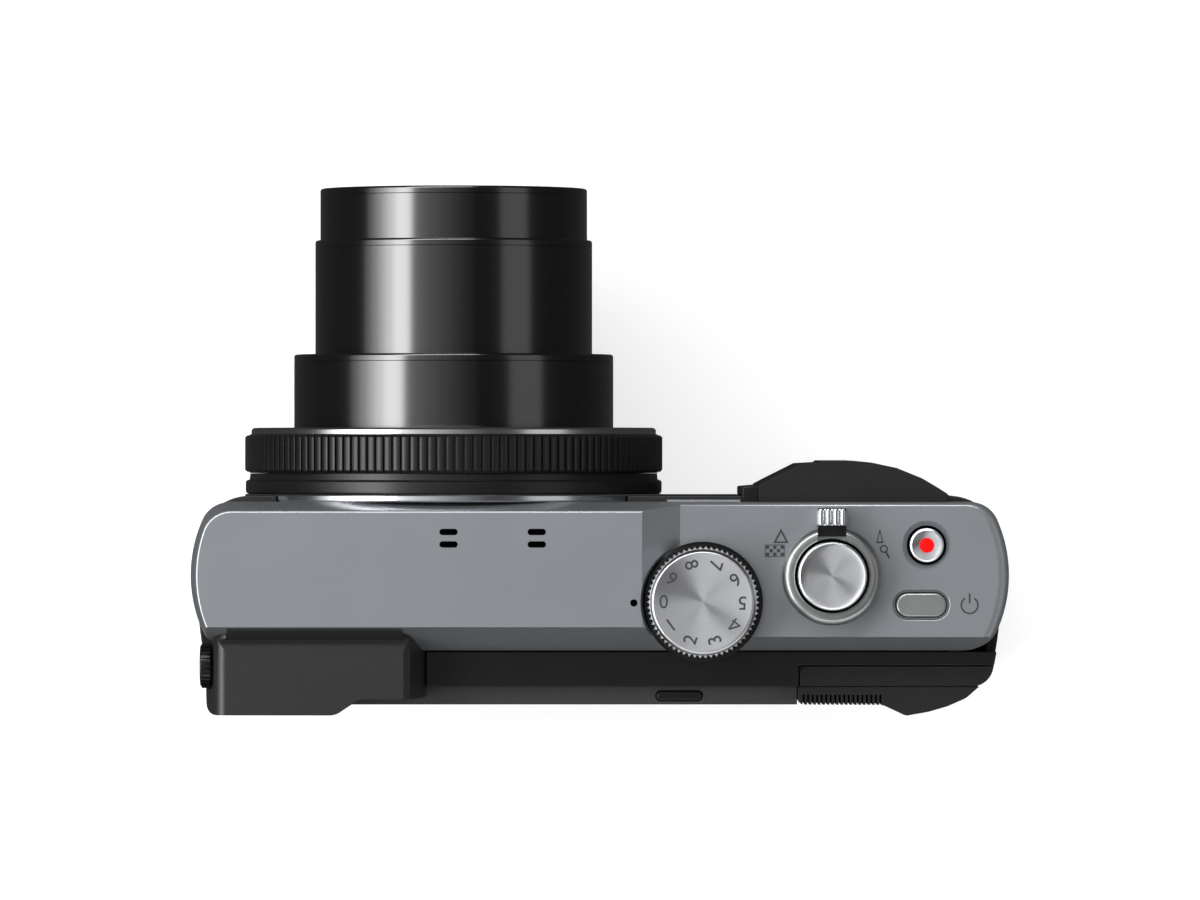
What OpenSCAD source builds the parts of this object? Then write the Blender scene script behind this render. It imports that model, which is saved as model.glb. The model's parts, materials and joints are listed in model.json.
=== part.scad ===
// Compact digital camera with a collapsing zoom lens, drawn with the lens run out.
// +Z is up and the lens looks along -Y. The origin is the mouth of the tripod socket.

/* [Case] */
// Width across the widest point of the top cover
body_w = 112; // [111:0.5:113]
// Height of the black case, up to the top cover's lower edge
case_h = 47.5; // [47:0.1:48]
// Height of the right-hand deck that carries the controls
deck_z = 58; // [57.8:0.1:58.2]
// Height of the raised left-hand plateau
hump_z = 62.4; // [62.2:0.1:62.6]
// Wall thickness of the three case shells
wall = 1.2; // [1.1:0.05:1.3]
// Thickness of the base plate and the battery door
base_t = 1.5; // [1.5:0.1:1.6]

/* [Lens] */
// Sideways place of the lens axis
lens_x = 20.3; // [20:0.1:20.6]
// Height of the lens axis
lens_z = 31; // [30.8:0.1:31.2]
// How far the outer barrel's rim stands in front of the origin
outer_rim = 34; // [33.5:0.1:34]
// How far the middle barrel's rim stands in front of the origin
middle_rim = 49.9; // [49.5:0.1:49.9]
// How far the front barrel's rim stands in front of the origin
front_rim = 57.1; // [57:0.1:57.2]
// Radius of the knurled control ring
ring_r = 29.1; // [28.9:0.1:29.1]
// Half height of the window in the front barrel's face
window_h = 7.6; // [7.4:0.1:7.6]

/* [Top controls] */
// Mode dial's centre: sideways, then front to back
dial_at = [-14.1, 0]; // [-15:0.1:5]
// Radius of the mode dial's skirt
dial_r = 8.2; // [8:0.1:8.2]
// Shutter button's centre: sideways, then front to back
shutter_at = [-31.7, -3.56]; // [-33:0.1:5]
// Radius of the shutter button
shutter_r = 4.7; // [4.6:0.05:4.75]
// Movie button's centre: sideways, then front to back
movie_at = [-44.7, -7.7]; // [-46:0.1:5]
// Power button's centre: sideways, then front to back
power_at = [-43.95, 0.44]; // [-45:0.1:5]

/* [Rear] */
// Rear dial's centre: sideways, then height
wheel_at = [-37, 20]; // [-38:0.1:22]
// Outer radius of the rear dial
wheel_r = 9; // [8.8:0.1:9]
// Eyepiece centre: sideways, then height
eye_at = [45, 54]; // [44:0.1:55]

/* [Power] */
// Battery: width, thickness, height
battery = [36, 10, 42]; // [9:0.5:42]
// Memory card: width, thickness, height
card = [24, 2.1, 32]; // [2.1:0.1:32]

/* [Hidden] */
$fn = 72;

e = 0.05;           // overlap of a cutting tool past the face that it opens
front_y = -14.4;    // front face of the case
top_front_y = -13.6;
seam_y = 1;         // where the front and rear covers meet
back_y = 11.8;      // rear face of the rear cover
shelf_z = 51;       // strip of rear cover behind the deck
eye_shelf_z = 49;   // the same strip, lower under the viewfinder housing
eye_x = 23.8;       // where the viewfinder housing starts
ramp = [-11, -5.8]; // foot and head of the slope between deck and plateau

// Plans: [half width, side arc radius, widest point's y, front y, rear y, front and rear corner radii]
top_plan = [body_w / 2, 18.7, -3.6, top_front_y, 6.8, 4, 5];
case_plan = [body_w / 2 - 0.6, 60, -3, front_y, back_y, 7, 3];

fixed_r = 24;       // outside of the fixed barrel
outer_r = 22.25;
middle_r = 19.3;
front_r = 18.6;
outer_in = 20.6;
middle_in = 18.75;
front_in = 17.6;
blade_travel = window_h + 0.25;

door_x = [-50.2, -11.6]; // battery door's flat part, from the hinge to the free end
door_y = [-9.6, 6.1];
door_axis = [-51.8, 1.6];
battery_at = [-48, -8.9, 3.9];
card_at = [-40, 2.7, 4.4];
bay_gap = 0.3;
knuckle_r = 1.6;         // rolled end of the battery door
knuckle_y = [-8.1, 4.6];
pin_r = 0.5;

strap_at = [-54.1, -4.25];
terminal_z = [14, 36];
terminal_y = [-9.5, -1.6];
terminal_axis = [-54.95, -1.6];

function arc(c, r, a0, a1, n) =
  [for (i = [0:n]) let (a = a0 + (a1 - a0) * i / n) c + r * [cos(a), sin(a)]];

function heading(from, to) = atan2(to[1] - from[1], to[0] - from[0]);

function half_plan(p, inset) =
  let (
    side = [p[0] - p[1], p[2]],
    fy = p[3] + p[5],
    ry = p[4] - p[6],
    front_c = [side[0] + sqrt(pow(p[1] - p[5], 2) - pow(fy - p[2], 2)), fy],
    rear_c = [side[0] + sqrt(pow(p[1] - p[6], 2) - pow(ry - p[2], 2)), ry],
    a = heading(side, front_c),
    b = heading(side, rear_c)
  )
  concat(
    arc(front_c, p[5] - inset, -90, a, 5),
    arc(side, p[1] - inset, a + (b - a) / 8, b - (b - a) / 8, 6),
    arc(rear_c, p[6] - inset, b, 90, 5)
  );

module plan(p, inset = 0) {
  half = half_plan(p, inset);
  polygon(concat(half, [for (i = [len(half) - 1:-1:0]) [-half[i][0], half[i][1]]]));
}

module block(lo, hi) { translate(lo) cube(hi - lo); }

module pill(length, width) {
  square([length - width, width], center = true);
  for (s = [-1, 1]) translate([s * (length - width) / 2, 0]) circle(d = width);
}

module rounded(size, r) {
  union() {
    square([size[0] - 2 * r, size[1]], center = true);
    square([size[0], size[1] - 2 * r], center = true);
    for (sx = [-1, 1], sy = [-1, 1])
      translate([sx * (size[0] / 2 - r), sy * (size[1] / 2 - r)]) circle(r);
  }
}

// Stands a shape on the lens axis, with its own z as the reach in front of the origin
module on_lens() { translate([lens_x, 0, lens_z]) rotate([90, 0, 0]) children(); }

// Lays a shape against the rear face, with its own z pointing backwards from y
module on_rear(x, z, y = 0) { translate([x, y, z]) rotate([-90, 0, 0]) children(); }

module tube(r_out, r_in, z0, z1) {
  translate([0, 0, z0]) difference() {
    cylinder(r = r_out, h = z1 - z0);
    translate([0, 0, -e]) cylinder(r = r_in, h = z1 - z0 + 2 * e);
  }
}

module rod(r, z0, z1) { translate([0, 0, z0]) cylinder(r = r, h = z1 - z0); }

// ---- Case ----

module top_envelope(t) {
  z0 = case_h - (t > 0 ? 1 : 0);
  intersection() {
    translate([0, 0, z0]) linear_extrude(20) plan(top_plan, t);
    translate([60, 0, 0]) rotate([0, -90, 0]) linear_extrude(120) polygon([
      [z0, top_front_y + t], [deck_z - 1.5, top_front_y + t], [hump_z - t, top_front_y + 1.2 + t],
      [hump_z - t, 3.4 - t], [51.5, 6.8 - t], [z0, 6.8 - t]
    ]);
    translate([0, 10, 0]) rotate([90, 0, 0]) linear_extrude(30) polygon([
      [-60, z0], [60, z0], [60, deck_z - t], [body_w / 2 - t, deck_z - t],
      [body_w / 2 - 1.5 - t, hump_z - t], [ramp[1] + t, hump_z - t],
      [ramp[0] + t, deck_z - t], [-60, deck_z - t]
    ]);
  }
}

module mic_slots() {
  for (x = [20.5, 8.5], y = [-9.55, -7.9])
    translate([x, y, hump_z - 3]) linear_extrude(4) pill(2.45, 0.85);
}

module top_cover() {
  color("slategray") difference() {
    top_envelope(0);
    top_envelope(wall);
    on_lens() rod(fixed_r + 0.2, 2, 20);
    mic_slots();
    translate([dial_at[0], dial_at[1], 0]) {
      rod(dial_r + 0.3, deck_z, hump_z + 1);
      rod(2.6, deck_z - 5, deck_z + 1);
    }
    translate([shutter_at[0], shutter_at[1], 0]) rod(5.6, deck_z - 5, deck_z + 1);
    translate([movie_at[0], movie_at[1], 0]) {
      rod(2.7, deck_z - 5, deck_z + 1);
      translate([0, 0, deck_z - 0.6]) cylinder(r1 = 2.7, r2 = 3.4, h = 0.6 + e);
    }
    translate([power_at[0], power_at[1], 0]) {
      translate([0, 0, deck_z - 5]) linear_extrude(6) pill(7.15, 3.5);
      translate([0, 0, deck_z - 0.6]) linear_extrude(1) pill(8.5, 4.9);
    }
    block([-19.4, -20, 48.6], [-9.2, -12, 55.6]);
  }
}

module front_cover() {
  color("dimgray") difference() {
    intersection() {
      translate([0, 0, base_t]) linear_extrude(case_h - base_t) plan(case_plan);
      block([-60, -20, 0], [60, seam_y, 60]);
    }
    translate([0, 0, base_t - e]) linear_extrude(case_h) plan(case_plan, wall + 0.1);
    on_lens() {
      rod(fixed_r + 0.2, 10, 20);
      rod(ring_r + 0.2, -top_front_y, 20);
    }
    on_rear(-14.2, 41, -20) rod(2.1, 0, 12);
    block([-60, terminal_y[0] - 0.1, terminal_z[0] - 0.1], [-50, terminal_axis[1] + e, terminal_z[1] + 0.1]);
    translate([terminal_axis[0], terminal_axis[1], 0]) {
      rod(0.7, terminal_z[0] - 0.1, terminal_z[1] + 0.1);
      rod(0.34, terminal_z[0] - 1, terminal_z[1] + 1);
    }
    block([-60, -7, 40], [-50, -1.5, 46]);
    translate([strap_at[0], strap_at[1], 0]) rod(0.8, 39.4, 46.6);
  }
}

module rear_cover() {
  color("dimgray") difference() {
    intersection() {
      translate([0, 0, base_t]) linear_extrude(shelf_z - base_t) plan(case_plan);
      block([-60, seam_y, 0], [60, 20, 60]);
    }
    block([-60, 0, case_h], [60, 7, 60]);
    block([eye_x, 0, eye_shelf_z], [60, 20, 60]);
    intersection() {
      translate([0, 0, base_t - e]) linear_extrude(60) plan(case_plan, wall + 0.1);
      block([-60, 0, 0], [60, back_y - wall, eye_shelf_z - wall]);
    }
    block([-16.9, 9, 5.9], [48.4, 20, 46.1]);
    thumb_flap();
    on_rear(wheel_at[0], wheel_at[1]) rod(2.35, 9, 20);
    for (b = small_buttons) on_rear(b[0], b[1]) rod(2.1, 9, 20);
    on_rear(lock_at[0], lock_at[1]) rod(2.5, 9, 20);
  }
}

lock_at = [-25, 35.5];
small_buttons = [[-48.6, 35], [-26.6, 6.6], [-47.6, 6.6]]; // playback, display, delete
screw_at = [[50, 8.5], [50, -9], [14, 8.8], [-6.5, -10.5], [-30, 8.5], [-50.5, 8.2]];

module base_plate() {
  color("dimgray") difference() {
    linear_extrude(base_t) plan(case_plan);
    block([door_axis[0] - knuckle_r - 0.15, door_y[0] - 0.15, -1], [door_x[1] + 0.15, door_y[1] + 0.15, 3]);
    translate([0, 0, -1]) rod(5, 0, 4);
    for (p = screw_at) translate([p[0], p[1], 0]) {
      rod(1.6, -1, 0.9);
      rod(0.8, 0, 3);
    }
  }
}

grip_outline = [
  [-19.7, -15.5], [-21.9, -15.6], [-22, -16.3], [-24, -17.3], [-27, -18.7], [-30, -19.2], [-33.5, -19.3],
  [-37, -19.05], [-40.5, -18.3], [-44, -17.1], [-46.8, -15.7], [-48.1, -14.5]
];

module front_grip() {
  color("#282828") {
    translate([0, 0, 6]) linear_extrude(case_h - 6)
      polygon(concat(grip_outline, [[-48.1, front_y], [-19.7, front_y]]));
    translate([0, 0, case_h]) linear_extrude(8)
      polygon(concat(grip_outline, [[-48.1, top_front_y], [-19.7, top_front_y]]));
  }
}

thumb_outline = [
  [-27.5, back_y], [-27.5, 14.3], [-39.4, 14.4], [-40.8, 14.95], [-42.1, 15.9], [-45.2, 15.4],
  [-47.8, 14.6], [-50.4, 13.45], [-52.2, back_y]
];
thumb_flap_y = 8.9; // the flap over the shelf starts here
thumb_flap_t = 0.6;

module thumb_flap() {
  translate([0, 0, shelf_z - thumb_flap_t]) linear_extrude(thumb_flap_t) intersection() {
    plan(case_plan);
    translate([-54.2, thumb_flap_y]) square([26.7, back_y - thumb_flap_y]);
  }
}

module thumb_rest() {
  color("#282828") {
    translate([0, 0, 39.5]) linear_extrude(shelf_z - 39.5) polygon(thumb_outline);
    thumb_flap();
  }
}

module flash_window() { color("white") block([-19.3, -13.9, 48.7], [-9.3, -12.6, 55.5]); }

module flash_unit() {
  color("gainsboro") difference() {
    block([-19, -12.2, 49], [-9.6, -7, 55.2]);
    translate([-20, -12.3, 52.1]) rotate([0, 90, 0]) rod(2.6, 1.5, 10);
  }
  color("whitesmoke") translate([-18.5, -11.6, 52.1]) rotate([0, 90, 0]) rod(0.9, 0, 8.4);
}

module focus_lamp_window() { color("orangered") on_rear(-14.2, 41, front_y) rod(2, 0, 1.6); }

module strap_bar() {
  color("silver") translate([strap_at[0], strap_at[1], 0]) rod(0.8, 39.4, 46.6);
}

module case_screws() {
  color("silver") for (p = screw_at) translate([p[0], p[1], 0]) {
    difference() {
      rod(1.5, 0.15, 0.9);
      block([-0.9, -0.2, 0], [0.9, 0.2, 0.5]);
      block([-0.2, -0.9, 0], [0.2, 0.9, 0.5]);
    }
    rod(0.75, 0.9, 3.2);
  }
}

module tripod_bush() {
  color("silver") difference() {
    union() {
      rod(4.9, 0, 6.5);
      rod(7, base_t, 3);
    }
    rod(3.175, -e, 5);
  }
}

// ---- Viewfinder ----

module viewfinder_housing() {
  color("#1c1c1e") difference() {
    intersection() {
      translate([60, 0, 0]) rotate([0, -90, 0]) linear_extrude(120) polygon([
        [eye_shelf_z, 7.05], [eye_shelf_z, 15.5], [59, 15.5], [59.5, 5.3], [61.8, 3.8], [51.5, 7.02]
      ]);
      translate([0, 0, 40]) linear_extrude(30) polygon([
        [eye_x + 0.1, 0], [54.2, 0], [54.2, 5], [53.9, 13.8], [53.4, 15.1], [52.4, 15.5],
        [36, 15.5], [35, 15.1], [33.6, 12.8], [32.7, 12.4], [eye_x + 0.1, 12.4]
      ]);
    }
    on_rear(eye_at[0], eye_at[1]) rod(4.2, 7.9, 16);
    translate([eye_at[0], 14.2, eye_at[1]]) rotate([-90, 0, 0]) linear_extrude(3) rounded([14.2, 8.8], 3);
    translate([0, 8.8, 54.6]) rotate([0, 90, 0]) {
      rod(3.3, 52.8, 60);
      rod(0.85, 50.9, 53);
    }
  }
}

module eyecup() {
  color("#202020") translate([eye_at[0], 14.2, eye_at[1]]) rotate([-90, 0, 0])
    linear_extrude(1.3) difference() {
      rounded([14.2, 8.8], 3);
      circle(3.9);
    }
}

module viewfinder_lens() { color("lightblue") on_rear(eye_at[0], eye_at[1]) rod(4.2, 11.5, 14.1); }

module diopter_dial() {
  color("#303032") translate([0, 8.8, 54.6]) rotate([0, 90, 0]) {
    rod(3.1, 53, 54.6);
    rod(0.8, 51, 53);
  }
}

// ---- Lens ----

module lens_trim_ring() { color("silver") on_lens() tube(ring_r, fixed_r + 0.1, -top_front_y, 14.6); }

module lens_base_ring() {
  color("#151515") on_lens() {
    tube(ring_r - 0.1, fixed_r, 14.6, 16.6);
    tube(ring_r - 0.5, fixed_r, 16.6, 17.3);
    tube(25.6, fixed_r, 17.3, 23);
  }
}

module fixed_barrel() { color("#303030") on_lens() tube(fixed_r, outer_r + 0.2, -4, 23.2); }

module sensor_plate() {
  color("gray") on_lens() difference() {
    rod(fixed_r, -6, -4);
    translate([-6.2, -5.2, -7]) cube([12.4, 10.4, 4]);
    translate([-30, 15.5, -7]) cube([60, 10, 4]);
  }
}

module image_sensor() { color("darkslateblue") on_lens() translate([-6, -5, -5.8]) cube([12, 10, 1.3]); }

module zoom_motor() {
  color("silver") {
    translate([49, 4, 9.5]) rotate([90, 0, 0]) rod(4.2, 0, 13);
    translate([49, 5.5, 9.5]) rotate([90, 0, 0]) rod(1.4, 0, 16);
  }
}

module focus_motor() {
  color("silver") on_lens() {
    translate([15.5, 9, 0]) rod(2.2, -3.9, -1.2);
    translate([-15.5, -9, 0]) rod(0.7, -4, -0.6);
  }
}

module control_ring() {
  color("#1a1a1a") on_lens() difference() {
    union() {
      rod(ring_r, 17.9, 22.5);
      translate([0, 0, 17.5]) cylinder(r1 = ring_r - 0.4, r2 = ring_r, h = 0.4);
      translate([0, 0, 22.5]) cylinder(r1 = ring_r, r2 = ring_r - 0.4, h = 0.4);
    }
    rod(25.65, 17, 24);
  }
}

module control_ring_trim() { color("silver") on_lens() tube(28.2, 25.9, 22.9, 23.8); }

module outer_barrel() {
  color("#101012") on_lens() {
    tube(outer_r, outer_in, outer_rim - 24, outer_rim - 1.2);
    tube(outer_r, middle_r + 0.12, outer_rim - 1.2, outer_rim);
  }
}

module middle_barrel() {
  color("#101012") on_lens() {
    tube(middle_r, middle_in, middle_rim - 20, middle_rim);
    tube(outer_in - 0.15, middle_in, middle_rim - 22, middle_rim - 20);
  }
}

module lens_window() {
  intersection() {
    circle(10.4);
    square([30, 2 * window_h], center = true);
  }
}

module front_barrel() {
  color("#101012") on_lens() {
    tube(front_r, front_in, front_rim - 14, front_rim - 2.5);
    translate([0, 0, front_rim - 2.5]) linear_extrude(1.6) difference() {
      circle(front_r);
      lens_window();
    }
    tube(front_r, front_in - 1, front_rim - 0.9, front_rim);
  }
}

module front_lens() {
  color("lightsteelblue") on_lens() rotate_extrude() polygon(concat(
    [[0, front_rim - 12], [front_in, front_rim - 12], [front_in, front_rim - 6], [14, front_rim - 6]],
    [for (i = [0:8]) let (a = 28 * (1 - i / 8)) [30 * sin(a), front_rim - 34.2 + 30 * cos(a)]]
  ));
}

module middle_lens_group() {
  color("#404044") on_lens() {
    tube(middle_in, 9, middle_rim - 19.4, middle_rim - 16.9);
    rod(9, middle_rim - 19, middle_rim - 17.4);
  }
}

module rear_lens_group() {
  color("#404044") on_lens() {
    tube(outer_in, 8, outer_rim - 24, outer_rim - 22.4);
    rod(8, outer_rim - 23.8, outer_rim - 21.2);
  }
}

module focus_group() {
  color("#505054") on_lens() {
    tube(8, 5.5, -3.3, -1.7);
    rod(5.5, -3, -1.9);
  }
}

// One half of the lens barrier, drawn slid clear of the window
module blade(side) {
  on_lens() translate([0, side * blade_travel, front_rim - 3.3]) linear_extrude(0.5) intersection() {
    circle(10.8);
    translate([-12, side > 0 ? 0.05 : -blade_travel]) square([24, blade_travel - 0.05]);
  }
}

module barrier_blade_upper() { color("#18181a") blade(1); }
module barrier_blade_lower() { color("#18181a") blade(-1); }

// ---- Top controls ----

module mode_dial() {
  color("silver") translate([dial_at[0], dial_at[1], 0]) {
    rod(dial_r, deck_z + 0.3, deck_z + 1.6);
    rod(7.6, deck_z + 1.6, 63.6);
    translate([0, 0, 63.6]) cylinder(r1 = 7.6, r2 = 7.1, h = 0.4);
    rod(2.5, deck_z - 3, deck_z + 0.3);
  }
}

module zoom_lever() {
  color("silver") translate([shutter_at[0], shutter_at[1], 0]) {
    tube(6.8, 5.05, deck_z + 0.3, deck_z + 3.6);
    tube(5.5, 5.05, deck_z - 3, deck_z + 0.3);
    block([-1.5, -7.4, deck_z + 0.5], [1.5, -6.5, deck_z + 3]);
    block([-2.1, -9.2, deck_z + 0.5], [2.1, -7.4, deck_z + 4.5]);
  }
}

module shutter_button() {
  color("silver") translate([shutter_at[0], shutter_at[1], 0]) {
    rod(shutter_r, deck_z - 1, 63.7);
    translate([0, 0, 63.7]) cylinder(r1 = shutter_r, r2 = shutter_r - 0.4, h = 0.4);
    rod(1.5, deck_z - 3, deck_z - 1);
  }
}

module movie_button() {
  color("silver") translate([movie_at[0], movie_at[1], 0]) {
    rod(2.55, deck_z - 2.4, deck_z + 0.4);
    rod(1, deck_z + 0.4, deck_z + 0.5);
  }
}

module power_button() {
  color("silver") translate([power_at[0], power_at[1], deck_z - 2.4]) linear_extrude(2.7) pill(6.95, 3.3);
}

// ---- Rear ----

module rear_panel(size, at, r, y0, y1) {
  translate([at[0], y0, at[1]]) rotate([-90, 0, 0]) linear_extrude(y1 - y0) rounded(size, r);
}

display_at = [15.75, 25.9];
frame_size = [71.5, 45.8];
glass_size = [66.5, 41.4];

module display_frame() {
  color("#141416") difference() {
    union() {
      rear_panel(frame_size, display_at, 2, back_y, 14.3);
      block([-27.2, back_y, 39.6], [-17.8, 14.3, display_at[1] + frame_size[1] / 2]);
    }
    rear_panel(glass_size + [0.1, 0.1], display_at, 0.6, back_y - 1, 15);
    translate([-11, 13.1, 47.9]) linear_extrude(2) pill(6.5, 1.5);
  }
}

module display_panel() {
  color("darkslategray") block([-16.8, 10.9, 6], [48.3, 13.3, 46]);
}

module display_glass() { color("#202024") rear_panel(glass_size, display_at, 0.6, 13.4, 14.25); }

module control_dial() {
  color("#2a2a2c") on_rear(wheel_at[0], wheel_at[1]) {
    tube(wheel_r, 4.3, back_y + 0.2, back_y + 1.9);
    tube(2.3, 1.5, back_y - 2.5, back_y + 0.2);
    tube(4.3, 1.5, back_y + 0.2, back_y + 0.5);
  }
}

module menu_button() {
  color("#242426") on_rear(wheel_at[0], wheel_at[1]) {
    rod(4.1, back_y + 1.1, back_y + 1.8);
    rod(1.4, back_y - 2, back_y + 1.1);
  }
}

module small_button(at, r) { color("#242426") on_rear(at[0], at[1]) rod(r, back_y - 1.2, back_y + 0.8); }
module lock_button() { small_button(lock_at, 2.4); }
module playback_button() { small_button(small_buttons[0], 2); }
module display_button() { small_button(small_buttons[1], 2); }
module delete_button() { small_button(small_buttons[2], 2); }

module viewfinder_button() {
  color("#242426") translate([-11, 13.1, 48.35]) linear_extrude(0.75) pill(6.3, 1.3);
}

// ---- Inside ----

module main_board() { color("darkgreen") block([-8, 7.4, 4], [52, 8.4, 46]); }

module speaker() { color("#303030") block([46, -10.5, 26], [52, -6.5, 38]); }

module microphones() {
  color("gold") for (x = [20.5, 8.5]) translate([x, -8.7, 0]) rod(1.7, hump_z - 3.4, hump_z - 1.4);
}

module battery_box() {
  color("#38383a") difference() {
    union() {
      block([-49.2, -10.2, 2.2], [-11.2, 5.9, 47.2]);
      for (y = [[door_y[0] + 0.1, knuckle_y[0] - 0.15], [knuckle_y[1] + 0.15, door_y[1] - 0.1]]) {
        block([door_axis[0] - 1, y[0], 1.5], [-49.1, y[1], 2.7]);
        block([door_axis[0] - 1, y[0], 0.8], [door_axis[0] + 1, y[1], 2.7]);
      }
    }
    translate([door_axis[0], 7, door_axis[1]]) rotate([90, 0, 0]) rod(pin_r, 0, 20);
    block([battery_at[0] - bay_gap, battery_at[1] - bay_gap, 0],
      [battery_at[0] + battery[0] + bay_gap, battery_at[1] + battery[1] + bay_gap, 46.3]);
    block([card_at[0] - 0.2, card_at[1] - 0.2, 0], [card_at[0] + card[0] + 0.2, card_at[1] + card[1] + 0.2, 37]);
  }
}

module battery() { color("#4a4a50") translate(battery_at) cube(battery); }

module memory_card() { color("royalblue") translate(card_at) cube(card); }

module battery_door() {
  color("dimgray") difference() {
    union() {
      block([door_x[0], door_y[0], 0], [door_x[1], door_y[1], 1.3]);
      block([door_axis[0], knuckle_y[0], 0], [door_x[0] + 1, knuckle_y[1], 1.3]);
      translate([door_axis[0], knuckle_y[1], door_axis[1]]) rotate([90, 0, 0])
        rod(knuckle_r, 0, knuckle_y[1] - knuckle_y[0]);
    }
    translate([door_axis[0], 7, door_axis[1]]) rotate([90, 0, 0]) rod(pin_r + 0.05, 0, 20);
    block([-24.2, -4.3, -1], [-15.2, 0.7, 0.6]);
    block([-21, -3, -1], [-15.9, -0.6, 2]);
  }
}

module door_hinge_pin() {
  color("silver") translate([door_axis[0], door_y[1] - 0.1, door_axis[1]]) rotate([90, 0, 0])
    rod(pin_r, 0, door_y[1] - door_y[0] - 0.2);
}

module door_latch() {
  color("#1e1e20") {
    block([-23.9, -4, 0.1], [-18.1, 0.4, 0.55]);
    block([-20.9, -2.9, 0.55], [-18.6, -0.7, 1.5]);
    block([-22, -3.6, 1.5], [-13.1, 0, 2.1]);
  }
}

module terminal_door() {
  color("#202022") {
    intersection() {
      translate([0, 0, terminal_z[0]]) linear_extrude(terminal_z[1] - terminal_z[0]) difference() {
        plan(case_plan);
        plan(case_plan, 1.3);
      }
      block([-60, terminal_y[0], 0], [-50, terminal_axis[1], 60]);
    }
    translate([terminal_axis[0], terminal_axis[1], 0]) {
      rod(0.44, terminal_z[0], terminal_z[1]);
      rod(0.3, terminal_z[0] - 0.8, terminal_z[1] + 0.8);
    }
  }
}

module sockets() {
  color("silver") {
    difference() {
      block([-53.4, -7.6, 24.5], [-49.4, -3.6, 33]);
      block([-54, -6.9, 25.3], [-50.4, -4.3, 32.2]);
    }
    difference() {
      block([-53.4, -7.4, 15.5], [-49.4, -4, 22.5]);
      block([-54, -6.8, 16.2], [-50.4, -4.6, 21.8]);
    }
  }
}

top_cover();
front_cover();
rear_cover();
base_plate();
front_grip();
thumb_rest();
flash_window();
flash_unit();
focus_lamp_window();
strap_bar();
case_screws();
tripod_bush();
viewfinder_housing();
eyecup();
viewfinder_lens();
diopter_dial();
lens_trim_ring();
lens_base_ring();
fixed_barrel();
sensor_plate();
image_sensor();
zoom_motor();
focus_motor();
control_ring();
control_ring_trim();
outer_barrel();
middle_barrel();
front_barrel();
front_lens();
middle_lens_group();
rear_lens_group();
focus_group();
barrier_blade_upper();
barrier_blade_lower();
mode_dial();
zoom_lever();
shutter_button();
movie_button();
power_button();
display_frame();
display_panel();
display_glass();
control_dial();
menu_button();
viewfinder_button();
lock_button();
playback_button();
display_button();
delete_button();
main_board();
speaker();
microphones();
battery_box();
battery();
memory_card();
battery_door();
door_hinge_pin();
door_latch();
terminal_door();
sockets();
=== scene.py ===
"""Looks of a compact digital camera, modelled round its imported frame.

Every length below is in metres unless a name or a property says millimetres. The frame has +Z up, the lens
looks along -Y, and +X is the viewfinder side.
"""

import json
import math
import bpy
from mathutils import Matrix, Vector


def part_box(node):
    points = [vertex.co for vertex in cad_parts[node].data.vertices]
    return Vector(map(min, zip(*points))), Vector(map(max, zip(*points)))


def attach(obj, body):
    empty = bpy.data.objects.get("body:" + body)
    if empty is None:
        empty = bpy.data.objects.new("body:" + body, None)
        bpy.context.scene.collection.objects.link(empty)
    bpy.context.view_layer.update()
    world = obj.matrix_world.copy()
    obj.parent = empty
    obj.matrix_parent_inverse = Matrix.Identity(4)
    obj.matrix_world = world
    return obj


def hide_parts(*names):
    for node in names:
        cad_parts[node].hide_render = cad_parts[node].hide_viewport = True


bl_info = {
    "name": "Compact digital camera",
    "version": (1, 0, 0),
    "blender": (4, 5, 0),
    "location": "View3D > Sidebar > Camera",
    "description": "Models the casing, lens, dials and buttons of a compact digital camera",
    "category": "Object",
}

import bmesh
import bpy
from mathutils import Matrix, Vector

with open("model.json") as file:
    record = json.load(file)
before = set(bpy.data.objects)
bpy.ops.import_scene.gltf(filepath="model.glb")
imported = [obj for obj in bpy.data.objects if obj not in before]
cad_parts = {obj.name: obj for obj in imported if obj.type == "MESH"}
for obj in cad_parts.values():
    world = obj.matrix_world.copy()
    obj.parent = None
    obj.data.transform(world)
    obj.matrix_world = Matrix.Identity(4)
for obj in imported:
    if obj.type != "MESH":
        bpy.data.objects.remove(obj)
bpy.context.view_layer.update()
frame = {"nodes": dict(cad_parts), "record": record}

MM = 0.001
TURN = 2 * math.pi
SAME_SPOT = 0.001 * MM
NEARLY_STRAIGHT = 3.1


def mm(points):
    """Points given in millimetres, as metres."""
    return [tuple(value * MM for value in point) for point in points]


def above(base, *pairs):
    """A profile's points: radii, and heights above a base, both given in millimetres."""
    return [(radius * MM, base + height * MM) for radius, height in pairs]


def box(node):
    """Lowest and highest corner of a frame node."""
    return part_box(node)


def middle(node):
    """Centre of a frame node's box."""
    low, high = box(node)
    return (low + high) / 2


RING_LOW, RING_HIGH = box("control_ring")
LENS = Vector((middle("control_ring").x, 0, middle("control_ring").z))
DECK = box("power_button")[1].z - 0.3 * MM
HUMP = box("top_cover")[1].z
CASE_TOP = box("front_cover")[1].z
HALF_W = box("top_cover")[1].x
CASE_HALF_W = box("front_cover")[1].x
DIAL, SHUTTER, MOVIE, POWER = (
    Vector((*middle(node).xy, 0)) for node in ("mode_dial", "shutter_button", "movie_button", "power_button"))
WHEEL = middle("control_dial")
EYE = middle("eyecup")

# Cutting tools reach past the case to these.
WIDE = 2 * HALF_W
FAR_FRONT, FAR_REAR, BELOW, ABOVE = -0.05, 0.05, -0.01, 0.08
FAR_CORNER = (WIDE, FAR_REAR, ABOVE)
PAST_SIDE, IN_SIDE = 0.06, 0.05
PAST_FRONT, IN_FRONT, PAST_REAR = -0.02, -0.01, 0.02


# ---------------------------------------------------------------------------------------------- settings


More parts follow.
